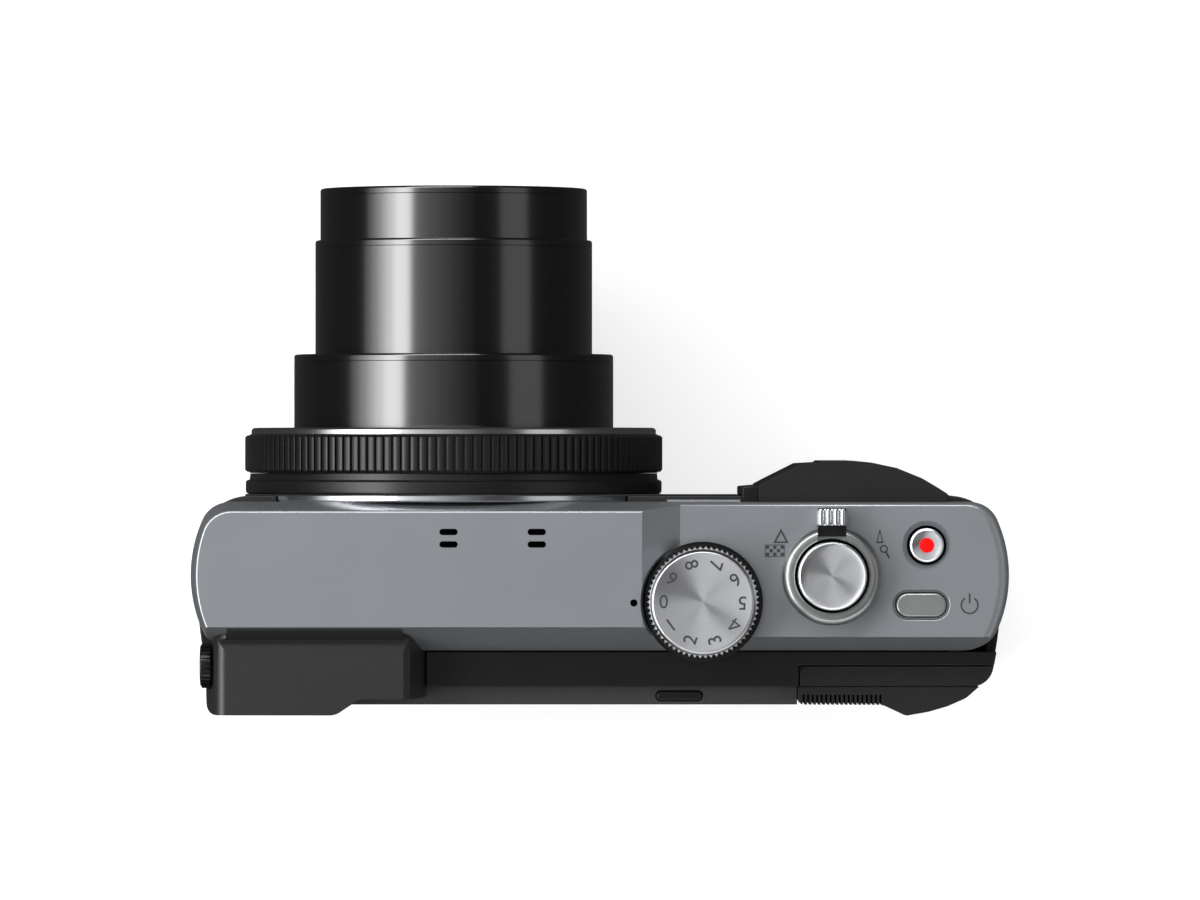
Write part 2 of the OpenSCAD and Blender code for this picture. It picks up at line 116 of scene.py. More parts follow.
class CameraSizes(bpy.types.PropertyGroup):
    """Sizes of the finishing detail, in metres."""

    cover_round: bpy.props.FloatProperty(
        name="Cover round", description="Radius of the top cover's upper edges", default=0.4 * MM, unit="LENGTH")
    seam_round: bpy.props.FloatProperty(
        name="Seam round", description="Radius along the seams of the case", default=0.25 * MM, unit="LENGTH")
    rubber_round: bpy.props.FloatProperty(
        name="Rubber round", description="Radius of the grip's edges", default=1.0 * MM, unit="LENGTH")
    ring_ribs: bpy.props.IntProperty(
        name="Ring ribs", description="Ribs round the control ring", default=148, min=24, max=200)
    dial_teeth: bpy.props.IntProperty(
        name="Dial teeth", description="Teeth round the mode dial", default=62, min=24, max=90)
    turn_steps: bpy.props.IntProperty(
        name="Turn steps", description="Steps in a full turn of a large turned part", default=160, min=48, max=256)
    mark_height: bpy.props.FloatProperty(
        name="Mark height", description="Thickness of a printed mark", default=0.03 * MM, unit="LENGTH")


class CameraColours(bpy.types.PropertyGroup):
    """Base colours of the finishes."""

    paint: bpy.props.FloatVectorProperty(
        name="Paint", description="Silver-grey paint of the top cover", subtype="COLOR", size=3,
        default=(0.30, 0.315, 0.335), min=0, max=1)
    case: bpy.props.FloatVectorProperty(
        name="Case", description="Black of the case", subtype="COLOR", size=3,
        default=(0.0035, 0.0035, 0.0038), min=0, max=1)
    rubber: bpy.props.FloatVectorProperty(
        name="Rubber", description="Black of the grips", subtype="COLOR", size=3,
        default=(0.005, 0.005, 0.0053), min=0, max=1)
    barrel: bpy.props.FloatVectorProperty(
        name="Barrel", description="Black of the glossy barrels", subtype="COLOR", size=3,
        default=(0.0015, 0.0015, 0.0017), min=0, max=1)
    metal: bpy.props.FloatVectorProperty(
        name="Metal", description="Bright machined metal", subtype="COLOR", size=3,
        default=(0.66, 0.67, 0.69), min=0, max=1)
    record_red: bpy.props.FloatVectorProperty(
        name="Record red", description="Dot on the movie button", subtype="COLOR", size=3,
        default=(0.85, 0.004, 0.004), min=0, max=1)


def sizes():
    return bpy.context.scene.camera_sizes


def colours():
    return bpy.context.scene.camera_colours


# --------------------------------------------------------------------------------------------- materials


MATERIALS = {}


class Finish:
    """A node material that is built up step by step."""

    def __init__(self, name, colour, metallic, roughness, **constants):
        self.material = bpy.data.materials.new(name)
        self.material.use_nodes = True
        self.tree = self.material.node_tree
        self.shader = self.tree.nodes["Principled BSDF"]
        self.colour = (*colour, 1)
        self.shader.inputs["Base Color"].default_value = self.colour
        self.shader.inputs["Metallic"].default_value = metallic
        self.shader.inputs["Roughness"].default_value = roughness
        self.roughness = roughness
        for socket, value in constants.items():
            self.shader.inputs[socket.replace("_", " ")].default_value = value
        self.place = self.node("ShaderNodeTexCoord").outputs["Object"]
        self.normal = None

    def node(self, kind, **values):
        made = self.tree.nodes.new(kind)
        for key, value in values.items():
            setattr(made, key, value)
        return made

    def join(self, source, target):
        self.tree.links.new(source, target)

    def stretched(self, scale, centre=(0, 0, 0)):
        """Object coordinates from a centre, scaled along each axis."""
        mapping = self.node("ShaderNodeMapping")
        mapping.inputs["Scale"].default_value = scale
        mapping.inputs["Location"].default_value = [-c * s for c, s in zip(centre, scale)]
        self.join(self.place, mapping.inputs["Vector"])
        return mapping.outputs["Vector"]

    def noise(self, scale, detail=3, vector=None):
        made = self.node("ShaderNodeTexNoise")
        made.inputs["Scale"].default_value = scale
        made.inputs["Detail"].default_value = detail
        self.join(vector or self.place, made.inputs["Vector"])
        return made.outputs["Fac"]

    def cells(self, scale):
        made = self.node("ShaderNodeTexVoronoi")
        made.inputs["Scale"].default_value = scale
        self.join(self.place, made.inputs["Vector"])
        return made.outputs["Distance"]

    def ranged(self, source, low, high):
        made = self.node("ShaderNodeMapRange")
        made.inputs["To Min"].default_value = low
        made.inputs["To Max"].default_value = high
        self.join(source, made.inputs["Value"])
        return made.outputs["Result"]

    def vary_roughness(self, source, spread):
        self.join(self.ranged(source, max(0.02, self.roughness - spread), self.roughness + spread),
                  self.shader.inputs["Roughness"])
        return self

    def vary_colour(self, source, darker, lighter=1.0):
        mix = self.node("ShaderNodeMix", data_type="RGBA")
        mix.inputs[6].default_value = [c * darker for c in self.colour[:3]] + [1]
        mix.inputs[7].default_value = [min(1, c * lighter) for c in self.colour[:3]] + [1]
        self.join(source, mix.inputs[0])
        self.join(mix.outputs[2], self.shader.inputs["Base Color"])
        return self

    def bump(self, source, depth):
        made = self.node("ShaderNodeBump")
        made.inputs["Distance"].default_value = depth
        self.join(source, made.inputs["Height"])
        if self.normal:
            self.join(self.normal, made.inputs["Normal"])
        self.normal = made.outputs["Normal"]
        self.join(self.normal, self.shader.inputs["Normal"])
        return self


def once(make):
    """Makes a finish the first time that its name is asked for. The usual name is the function's own."""
    def ask(name=make.__name__, *values, **more):
        if name not in MATERIALS:
            MATERIALS[name] = make(name, *values, **more).material
        return MATERIALS[name]
    return ask


@once
def silver_paint(name):
    f = Finish(name, colours().paint, 0.75, 0.36, Coat_Weight=0.25, Coat_Roughness=0.12)
    flakes = f.noise(9000, 2)
    f.vary_colour(f.noise(7000, 2), 0.93, 1.07).vary_roughness(f.noise(120, 4), 0.03)
    return f.bump(flakes, 0.0012 * MM)


@once
def black_case(name):
    f = Finish(name, colours().case, 0, 0.5, Specular_IOR_Level=0.45)
    f.vary_colour(f.noise(900, 3), 0.8, 1.25).vary_roughness(f.noise(300, 3), 0.06)
    return f.bump(f.cells(2600), 0.02 * MM)


@once
def satin_black(name):
    f = Finish(name, colours().case, 0, 0.34, Specular_IOR_Level=0.35)
    f.vary_colour(f.noise(500, 3), 0.85, 1.2).vary_roughness(f.noise(700, 3), 0.05)
    return f.bump(f.noise(5200, 2), 0.0035 * MM)


@once
def rubber(name):
    f = Finish(name, colours().rubber, 0, 0.6, Specular_IOR_Level=0.25)
    f.vary_colour(f.noise(700, 4), 0.85, 1.2).vary_roughness(f.noise(400, 3), 0.07)
    return f.bump(f.cells(3300), 0.012 * MM).bump(f.noise(900, 4), 0.01 * MM)


@once
def gloss_barrel(name):
    f = Finish(name, colours().barrel, 0, 0.18, Specular_IOR_Level=0.8,
               Coat_Weight=0.8, Coat_Roughness=0.16)
    rings = f.noise(1.0, 3, f.stretched((60, 26000, 60), LENS))
    f.vary_colour(f.noise(90, 3), 0.85, 1.2).vary_roughness(rings, 0.035)
    return f.bump(rings, 0.0004 * MM)


@once
def turned_black(name):
    f = Finish(name, (0.014, 0.014, 0.015), 0.5, 0.3)
    rings = f.noise(1.0, 4, f.stretched((80, 22000, 80), LENS))
    f.vary_colour(rings, 0.6, 1.5).vary_roughness(rings, 0.08)
    return f.bump(rings, 0.0035 * MM)


@once
def bright_metal(name):
    f = Finish(name, colours().metal, 1, 0.2)
    lines = f.noise(1.0, 3, f.stretched((400, 9000, 400)))
    f.vary_colour(f.noise(200, 3), 0.92, 1.05).vary_roughness(lines, 0.05)
    return f.bump(lines, 0.0008 * MM)


@once
def spun_metal(name, centre):
    """Bright metal with fine turning lines round a vertical axis through centre."""
    f = Finish(name, colours().metal, 1, 0.3, Anisotropic=0.85)
    place = f.stretched((1, 1, 0), (centre.x, centre.y, 0))
    length = f.node("ShaderNodeVectorMath", operation="LENGTH")
    f.join(place, length.inputs[0])
    rings = f.node("ShaderNodeTexNoise", noise_dimensions="1D")
    rings.inputs["Scale"].default_value = 9000
    rings.inputs["Detail"].default_value = 2
    f.join(length.outputs["Value"], rings.inputs["W"])
    around = f.node("ShaderNodeVectorMath", operation="CROSS_PRODUCT")
    around.inputs[1].default_value = (0, 0, 1)
    f.join(place, around.inputs[0])
    world = f.node("ShaderNodeVectorTransform", vector_type="VECTOR", convert_from="OBJECT", convert_to="WORLD")
    f.join(around.outputs["Vector"], world.inputs["Vector"])
    f.join(world.outputs["Vector"], f.shader.inputs["Tangent"])
    f.vary_colour(rings.outputs["Fac"], 0.86, 1.06).vary_roughness(rings.outputs["Fac"], 0.05)
    return f.bump(rings.outputs["Fac"], 0.0012 * MM)


@once
def mark_paint(name, colour=(0.035, 0.037, 0.042), shine=0.3):
    f = Finish(name, colour, 0, 0.45, Specular_IOR_Level=shine)
    f.vary_colour(f.noise(2500, 3), 0.85, 1.15).vary_roughness(f.noise(1500, 2), 0.05)
    return f.bump(f.noise(6000, 2), 0.001 * MM)


@once
def red_dot(name):
    f = Finish(name, colours().record_red, 0, 0.45, Specular_IOR_Level=0.1)
    f.vary_colour(f.noise(1800, 3), 0.92, 1.0).vary_roughness(f.noise(900, 2), 0.05)
    return f.bump(f.noise(5000, 2), 0.001 * MM)


@once
def glass(name, colour, roughness, alpha, **constants):
    f = Finish(name, colour, 0, roughness, Alpha=alpha, Specular_IOR_Level=0.8, **constants)
    f.vary_colour(f.noise(60, 3), 0.9, 1.1).vary_roughness(f.noise(160, 3), 0.002)
    return f


@once
def clear_window(name):
    f = Finish(name, (0.3, 0.31, 0.33), 0, 0.12, Alpha=0.7)
    ribs = f.node("ShaderNodeTexWave", wave_type="BANDS", bands_direction="X")
    ribs.inputs["Scale"].default_value = 900
    f.join(f.place, ribs.inputs["Vector"])
    f.vary_colour(ribs.outputs["Fac"], 0.8, 1.05).vary_roughness(f.noise(500, 2), 0.03)
    return f.bump(ribs.outputs["Fac"], 0.08 * MM)


@once
def plain_finish(name, colour, metallic, roughness, grain, depth):
    """A moulded or plated finish with a grain of that scale and depth."""
    f = Finish(name, colour, metallic, roughness)
    f.vary_colour(f.noise(grain / 3, 3), 0.85, 1.12).vary_roughness(f.noise(grain, 3), 0.05)
    return f.bump(f.noise(grain * 2, 2), depth)


def housing_black():
    return plain_finish("housing_black", (0.011, 0.011, 0.0115), 0, 0.38, 2600, 0.003 * MM)


@once
def circuit_board(name):
    f = Finish(name, (0.01, 0.09, 0.035), 0, 0.3)
    tracks = f.node("ShaderNodeTexBrick")
    for socket, value in (("Color1", (0.01, 0.1, 0.04, 1)), ("Color2", (0.008, 0.07, 0.03, 1)),
                          ("Mortar", (0.25, 0.2, 0.06, 1))):
        tracks.inputs[socket].default_value = value
    tracks.inputs["Scale"].default_value = 260
    f.join(f.stretched((1, 0, 0)), tracks.inputs["Vector"])
    f.vary_colour(f.noise(400, 3), 0.7, 1.3).vary_roughness(f.noise(500, 2), 0.06)
    return f.bump(tracks.outputs["Fac"], 0.02 * MM)


SLOT_FINISHES = {
    "silver_paint": silver_paint,
    "black_case": black_case,
    "satin_black": satin_black,
    "black_rubber": rubber,
    "gloss_barrel": gloss_barrel,
    "black_metal": turned_black,
    "bright_metal": bright_metal,
    "spun_metal": lambda: spun_metal("spun_dial", DIAL),
    "lens_glass": lambda: glass("lens_glass", (0.02, 0.012, 0.05), 0.03, 0.55, Coat_Weight=1.0,
                                Coat_Tint=(0.55, 0.4, 1.0, 1)),
    "clear_window": clear_window,
    "amber_window": lambda: plain_finish("amber_window", (0.12, 0.02, 0.006), 0, 0.2, 900, 0.004 * MM),
    "screen_glass": lambda: glass("screen_glass", (0.006, 0.006, 0.008), 0.05, 1.0, Coat_Weight=0.5),
    "sensor_face": lambda: plain_finish("sensor_face", (0.015, 0.03, 0.06), 0.3, 0.15, 1500, 0.002 * MM),
    "circuit_board": circuit_board,
    "battery_wrap": lambda: plain_finish("battery_wrap", (0.05, 0.05, 0.055), 0, 0.5, 1400, 0.006 * MM),
    "card_plastic": lambda: plain_finish("card_plastic", (0.012, 0.04, 0.2), 0, 0.4, 1400, 0.005 * MM),
}


# --------------------------------------------------------------------------------------- modelling verbs


def deselect():
    if bpy.context.mode != "OBJECT":
        bpy.ops.object.mode_set(mode="OBJECT")
    bpy.ops.object.select_all(action="DESELECT")


def pick(*objects):
    """Selects these objects and makes the first one active."""
    deselect()
    for obj in objects:
        obj.select_set(True)
    bpy.context.view_layer.objects.active = objects[0]
    return objects[0]


def edit(obj):
    """Opens a piece in edit mode with all of it selected."""
    pick(obj)
    bpy.ops.object.mode_set(mode="EDIT")
    bpy.ops.mesh.select_mode(type="VERT")
    bpy.ops.mesh.select_all(action="SELECT")


def close():
    bpy.ops.object.mode_set(mode="OBJECT")


def set_place():
    """Moves the active piece's place into its mesh."""
    bpy.ops.object.transform_apply(location=True, rotation=True, scale=True)
    return bpy.context.object


def select_edges(test):
    """In edit mode, selects only the edges whose two ends pass the test."""
    bpy.ops.mesh.select_mode(type="EDGE")
    bpy.ops.mesh.select_all(action="DESELECT")
    mesh = bmesh.from_edit_mesh(bpy.context.object.data)
    for edge in mesh.edges:
        if test(edge.verts[0].co, edge.verts[1].co):
            edge.select_set(True)
    mesh.select_flush_mode()
    bmesh.update_edit_mesh(bpy.context.object.data)


def wire(name, points):
    """A chain of edges through the points, drawn from one vertex and left open in edit mode."""
    deselect()
    bpy.ops.mesh.primitive_plane_add(size=MM, location=points[0])
    obj = set_place()
    obj.name = name
    edit(obj)
    bpy.ops.mesh.merge(type="CENTER")
    for a, b in zip(points, points[1:]):
        bpy.ops.mesh.extrude_vertices_move(TRANSFORM_OT_translate={"value": Vector(b) - Vector(a)})
    return obj


def face_out():
    """In edit mode, turns all faces outwards."""
    bpy.ops.mesh.select_all(action="SELECT")
    bpy.ops.mesh.normals_make_consistent(inside=False)


def merge_up():
    """In edit mode, merges doubles and turns all faces outwards."""
    bpy.ops.mesh.select_all(action="SELECT")
    bpy.ops.mesh.remove_doubles(threshold=2 * SAME_SPOT)
    face_out()


def turned(name, profile, centre, axis=(0, -1, 0), steps=None):
    """A turned piece. The profile is a closed loop of (radius, reach along the axis)."""
    along = Vector(axis).normalized()
    across = Vector((0, 0, 1)) if abs(along.z) < 0.5 else Vector((1, 0, 0))
    centre = Vector(centre)
    points = [centre + across * r + along * h for r, h in profile]
    if profile[0][0] > 0 or profile[-1][0] > 0:
        points.append(points[0])
    obj = wire(name, points)
    bpy.ops.mesh.select_all(action="SELECT")
    bpy.ops.mesh.spin(steps=steps or sizes().turn_steps, angle=TURN, center=centre, axis=along)
    merge_up()
    close()
    return obj


def rounded_loop(corners, radius, steps=4):
    """A closed loop of corners, each rounded by the radius or by its own third value."""
    out = []
    for i, corner in enumerate(corners):
        here = Vector(corner[:2])
        before = Vector(corners[i - 1][:2]) - here
        after = Vector(corners[(i + 1) % len(corners)][:2]) - here
        r = corner[2] if len(corner) > 2 else radius
        turn = before.angle(after)
        if r == 0 or turn >= NEARLY_STRAIGHT:
            out.append(tuple(here))
            continue
        cut = min(r / math.tan(turn / 2), 0.49 * before.length, 0.49 * after.length)
        a, b = here + before.normalized() * cut, here + after.normalized() * cut
        for k in range(steps + 1):
            t = k / steps
            out.append(tuple(a * (1 - t) ** 2 + here * 2 * t * (1 - t) + b * t * t))
    return out


def plate(name, outline, low, high, up="z"):
    """A flat piece: an outline in the two other axes, filled and extruded from low to high along up."""
    lift = {"x": lambda u, v: (low, u, v), "y": lambda u, v: (u, low, v), "z": lambda u, v: (u, v, low)}[up]
    obj = wire(name, [lift(u, v) for u, v in [*outline, outline[0]]])
    bpy.ops.mesh.select_all(action="SELECT")
    bpy.ops.mesh.remove_doubles(threshold=SAME_SPOT)
    bpy.ops.mesh.edge_face_add()
    move = Vector((0, 0, 0))
    move["xyz".index(up)] = high - low
    bpy.ops.mesh.extrude_region_move(TRANSFORM_OT_translate={"value": move})
    face_out()
    close()
    return obj


def pill_outline(centre, length, width, steps=16):
    """A slot's outline, long across X."""
    r, half = width / 2, (length - width) / 2
    ends = []
    for side in (1, -1):
        for k in range(steps + 1):
            a = math.pi * (k / steps - 0.5) + (0 if side > 0 else math.pi)
            ends.append((centre[0] + side * half + r * math.cos(a), centre[1] + r * math.sin(a)))
    return ends


def circle_outline(centre, radius, steps=48):
    return [(centre[0] + radius * math.cos(TURN * k / steps), centre[1] + radius * math.sin(TURN * k / steps))
            for k in range(steps)]


def block(name, low, high):
    deselect()
    low, high = Vector(low), Vector(high)
    bpy.ops.mesh.primitive_cube_add(size=1, location=(low + high) / 2, scale=high - low)
    obj = set_place()
    obj.name = name
    return obj


def rod(name, centre, radius, low, high, up="z", steps=64, radius_top=None):
    """A straight or tapered rod along one axis."""
    deselect()
    spot = Vector(centre)
    spot["xyz".index(up)] = (low + high) / 2
    turn = {"x": (0, math.pi / 2, 0), "y": (-math.pi / 2, 0, 0), "z": (0, 0, 0)}[up]
    bpy.ops.mesh.primitive_cone_add(vertices=steps, radius1=radius, radius2=radius_top or radius,
                                    depth=high - low, location=spot, rotation=turn)
    obj = set_place()
    obj.name = name
    return obj


def modifier(obj, kind, **values):
    """Adds a modifier and applies it."""
    pick(obj)
    made = obj.modifiers.new(kind.lower(), kind)
    for key, value in values.items():
        setattr(made, key, value)
    bpy.ops.object.modifier_apply(modifier=made.name)
    return obj


def combine(obj, tools, operation="DIFFERENCE"):
    """Cuts, joins or trims a piece with tools, which are used up."""
    for tool in tools:
        modifier(obj, "BOOLEAN", operation=operation, solver="EXACT", object=tool)
        bpy.data.objects.remove(tool)
    return obj


def loft(name, loops):
    """A solid skinned over closed loops of equally many points, with both ends filled."""
    rings = [wire(name, [*loop, loop[0]]) for loop in loops]
    close()
    obj = joined(name, rings)
    edit(obj)
    bpy.ops.mesh.remove_doubles(threshold=SAME_SPOT)
    bpy.ops.mesh.select_all(action="SELECT")
    bpy.ops.mesh.bridge_edge_loops()
    bpy.ops.mesh.select_all(action="DESELECT")
    bpy.ops.mesh.select_mode(type="EDGE")
    bpy.ops.mesh.select_non_manifold()
    bpy.ops.mesh.fill_holes(sides=0)
    face_out()
    close()
    return obj


def soften(obj, width, segments=3, angle=30):
    """Rounds every edge sharper than the angle."""
    return modifier(obj, "BEVEL", width=width, segments=segments, limit_method="ANGLE",
                    angle_limit=math.radians(angle), use_clamp_overlap=True)


def bevel_edges(obj, test, width, segments=3):
    """Rounds only the edges whose ends pass the test."""
    edit(obj)
    select_edges(test)
    bpy.ops.mesh.bevel(offset=width, segments=segments, affect="EDGES", clamp_overlap=True)
    close()
    return obj


def joined(name, pieces):
    """Joins separate meshes into one piece."""
    pick(*pieces)
    if len(pieces) > 1:
        bpy.ops.object.join()
    obj = bpy.context.object
    obj.name = name
    return obj


def copy_of(node, name):
    """A merged copy of a frame node's mesh, to be finished by hand."""
    source = frame["nodes"][node]
    obj = bpy.data.objects.new(name, source.data.copy())
    bpy.context.scene.collection.objects.link(obj)
    obj.data.materials.clear()
    edit(obj)
    merge_up()
    bpy.ops.mesh.dissolve_limited(angle_limit=math.radians(1))
    close()
    return obj


def ring_copies(obj, count, centre, axis):
    """Repeats a piece round an axis, inside its own mesh."""
    edit(obj)
    bpy.ops.mesh.spin(steps=count - 1, dupli=True, angle=TURN * (count - 1) / count, center=centre, axis=axis)
    close()
    return obj


def done(obj, body, slot, *replaces, material=None, smooth=35, weighted=True):
    """Shades and paints a finished piece and puts it on its body. The slot's own finish is the usual one."""
    pick(obj)
    obj.data.name = obj.name
    bpy.ops.object.shade_smooth_by_angle(angle=math.radians(smooth))
    if weighted:
        modifier(obj, "WEIGHTED_NORMAL", keep_sharp=True, weight=60)
    obj.data.materials.clear()
    obj.data.materials.append(material or SLOT_FINISHES[slot]())
    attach(obj, body)
    if replaces:
        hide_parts(*replaces)
    return obj


def refined(node, name, body, slot, width, segments=2, angle=40, material=None, share=1):
    """Finishes a frame node's own shape with rounded edges. Share is what is kept of its breadth."""
    piece = copy_of(node, name)
    if share < 1:
        edit(piece)
        bpy.ops.transform.resize(value=(share, share, 1), center_override=middle(node))
        close()
    return done(soften(piece, width, segments, angle), body, slot, node, material=material)


def text_mark(name, words, centre, size, turn, top, body, material):
    """A printed number or letter, as a thin plate that lies on a surface."""
    deselect()
    bpy.ops.object.text_add(location=(centre[0], centre[1], top), rotation=(0, 0, turn))
    obj = bpy.context.object
    obj.name = name
    obj.data.body = words
    obj.scale = (size, size, size)
    obj.data.offset = 0.006
    obj.data.align_x = "CENTER"
    obj.data.align_y = "CENTER"
    obj.data.extrude = sizes().mark_height / size
    bpy.ops.object.convert(target="MESH")
    return done(set_place(), body, "satin_black", material=material, weighted=False)


# ------------------------------------------------------------------------------------------------ outlines


def half_plan(half_w, side_r, widest_y, front, rear, front_r, rear_r, inset=0.0):
    """Right half of a plan that bulges at its ends, from the front's middle to the rear's, as arcs."""
    side = Vector((half_w - side_r, widest_y))
    front_y, rear_y = front + front_r, rear - rear_r
    front_c = Vector((side.x + math.sqrt((side_r - front_r) ** 2 - (front_y - widest_y) ** 2), front_y))
    rear_c = Vector((side.x + math.sqrt((side_r - rear_r) ** 2 - (rear_y - widest_y) ** 2), rear_y))
    a = math.atan2(front_c.y - side.y, front_c.x - side.x)
    b = math.atan2(rear_c.y - side.y, rear_c.x - side.x)

    def arc(centre, radius, start, end, steps, skip=0):
        return [(centre.x + (radius - inset) * math.cos(start + (end - start) * k / steps),
                 centre.y + (radius - inset) * math.sin(start + (end - start) * k / steps))
                for k in range(skip, steps + 1 - skip)]

    return [*arc(front_c, front_r, -math.pi / 2, a, 14), *arc(side, side_r, a, b, 20, 1),
            *arc(rear_c, rear_r, b, math.pi / 2, 14)]


def plan(values, inset=0.0):
    half = half_plan(*values, inset=inset)
    return half + [(-x, y) for x, y in reversed(half)]


TOP_LOW, TOP_HIGH = box("top_cover")
TOP_PLAN = (HALF_W, 18.7 * MM, -3.6 * MM, TOP_LOW.y, TOP_HIGH.y, 4 * MM, 5 * MM)
FRONT_Y = box("front_cover")[0].y
SEAM_Y = box("front_cover")[1].y
BACK_Y = box("rear_cover")[1].y
BASE_T = box("base_plate")[1].z
CASE_PLAN = (CASE_HALF_W, 60 * MM, -3 * MM, FRONT_Y, BACK_Y, 7 * MM, 3 * MM)
WALL = 1.3 * MM
LENS_BORE = 24.2 * MM
SIDE_DRAFT, FRONT_DRAFT = 1.0 * MM, 1.1 * MM
DECK_ROUND = 1.3 * MM
REAR_SLOPE_TOP, REAR_SLOPE_FOOT = 3.4 * MM, 51.5 * MM
RAMP_FOOT, RAMP_HEAD = -11 * MM, -5.8 * MM


def lens_hole(radius, near, far):
    return rod("lens_hole", LENS, radius, near, far, "y", 128)


# ------------------------------------------------------------------------------------------------ operators


def quarter_round(steps):
    """Rise and inward reach along a quarter round, as shares of its radius."""
    angles = [math.radians(90 * k / steps) for k in range(steps + 1)]
    return [(math.sin(a), 1 - math.cos(a)) for a in angles]


def cover_loops(levels, inset=0.0):
    """Loops of the top cover's plan. Each level is a height with what its sides and its front draw in by."""
    half_w, side_r, widest, front, rear, front_r, rear_r = TOP_PLAN
    return [[(*point, z) for point in
             plan((half_w - side, side_r, widest, front + fore, rear, front_r, rear_r), inset)]
            for z, side, fore in levels]


class CAMERA_OT_top_cover(bpy.types.Operator):
    """Models the silver top cover with its plateau, ramp and recesses"""

    bl_idname = "camera_model.top_cover"
    bl_label = "Top cover"

    def execute(self, context):
        r = sizes().cover_round
        levels = [(CASE_TOP, 0, 0), (HUMP - 5.9 * MM, 0.15 * MM, 0.02 * MM)]
        levels += [(HUMP - r + r * rise, SIDE_DRAFT + r * inward, FRONT_DRAFT + r * inward)
                   for rise, inward in quarter_round(4)]
        cover = loft("top_cover_shell", cover_loops(levels))
        combine(cover, [plate("deck_cut", [
            (-WIDE, 0), (RAMP_FOOT - 2 * MM, 0), (RAMP_FOOT, DECK), (RAMP_HEAD, HUMP), (RAMP_HEAD, 2 * HUMP),
            (-WIDE, 2 * HUMP)], -30 * MM, 30 * MM, "y")])
        levels = [(CASE_TOP, 0, 0)] + [(DECK - DECK_ROUND + DECK_ROUND * rise, 1.6 * MM * inward, 0.6 * MM * inward)
                                       for rise, inward in quarter_round(5)]
        deck = loft("deck", cover_loops(levels, 0.01 * MM))
        combine(deck, [block("deck_end", (-8 * MM, FAR_FRONT, 0), FAR_CORNER)])
        combine(cover, [deck], "UNION")
        edit(cover)
        rear_top, rear_foot = Vector((0, REAR_SLOPE_TOP, HUMP)), Vector((0, TOP_HIGH.y, REAR_SLOPE_FOOT))
        slope = (rear_top - rear_foot).normalized()
        bpy.ops.mesh.bisect(plane_co=rear_top, plane_no=Vector((1, 0, 0)).cross(slope) * -1, use_fill=True,
                            clear_outer=True)
        close()
        for x, z in ((RAMP_HEAD, HUMP), (RAMP_FOOT, DECK)):
            def on_edge(point):
                return abs(point.x - x) < 0.02 * MM and abs(point.z - z) < 0.02 * MM
            bevel_edges(cover, lambda a, b: on_edge(a) and on_edge(b), 0.28 * MM, 3)
        inner = plate("inner", plan(TOP_PLAN, 2 * WALL), CASE_TOP - MM, DECK - WALL)
        combine(inner, [block("rear_trim", (-WIDE, 4.4 * MM, 0), FAR_CORNER)])
        combine(cover, [inner])
        bore = [
            lens_hole(LENS_BORE, PAST_FRONT, 3.5 * MM),
            rod("dial_pocket", DIAL, 8.5 * MM, DECK, HUMP + MM, steps=96),
            rod("dial_bore", DIAL, 2.6 * MM, DECK - 3 * MM, DECK + MM, steps=48),
            rod("lever_bore", SHUTTER, 5.6 * MM, DECK - 3 * MM, DECK + MM, steps=96),
            rod("movie_bore", MOVIE, 2.7 * MM, DECK - 3 * MM, DECK + MM, steps=64),
            rod("movie_dish", MOVIE, 2.6 * MM, DECK - 0.9 * MM, DECK + 0.1 * MM, steps=64, radius_top=3.45 * MM),
            plate("power_bore", pill_outline(POWER, 7.15 * MM, 3.5 * MM), DECK - 3 * MM, DECK + MM),
            plate("power_dish", pill_outline(POWER, 7.7 * MM, 4.1 * MM), DECK - 0.6 * MM, DECK + MM),
            block("flash_hole", (-19.4 * MM, PAST_FRONT, 48.6 * MM), (-9.2 * MM, -12 * MM, 55.6 * MM)),
        ]
        # Each microphone slot gets a near-black plate at its bottom: painted shade, a dark sheet where the slot
        # would only hold shadow.
        shade_plates = []
        for x in (20.5 * MM, 8.5 * MM):
            for y in (-9.55 * MM, -7.85 * MM):
                slot = pill_outline((x, y), 2.5 * MM, 0.87 * MM)
                bore.append(plate("mic_slot", slot, HUMP - 1.1 * MM, HUMP + MM))
                shade_plates.append(plate("mic_shade_plate", slot, HUMP - 1.12 * MM, HUMP - 0.5 * MM))
        combine(cover, bore)

        def near_power(point):
            return (abs(point.z - DECK) < 0.01 * MM and abs(point.x - POWER.x) < 4.2 * MM
                    and abs(point.y - POWER.y) < 2.3 * MM)

        bevel_edges(cover, lambda a, b: near_power(a) and near_power(b), 0.5 * MM, 4)
        done(cover, "camera", "silver_paint", "top_cover", smooth=28)
        # Painted shade: the plates under the microphone slots are a flat near-black with no shine.
        done(joined("mic_shade_plates", shade_plates), "camera", "satin_black",
             material=mark_paint("painted_shade_black", (0.001, 0.001, 0.001), 0))
        dot = rod("index_dot", (-4.7 * MM, 0.1 * MM, 0), 0.5 * MM, HUMP - 0.02 * MM, HUMP, steps=32)
        soften(dot, 0.004 * MM, 1)
        done(dot, "camera", "satin_black", material=mark_paint())
        return {"FINISHED"}


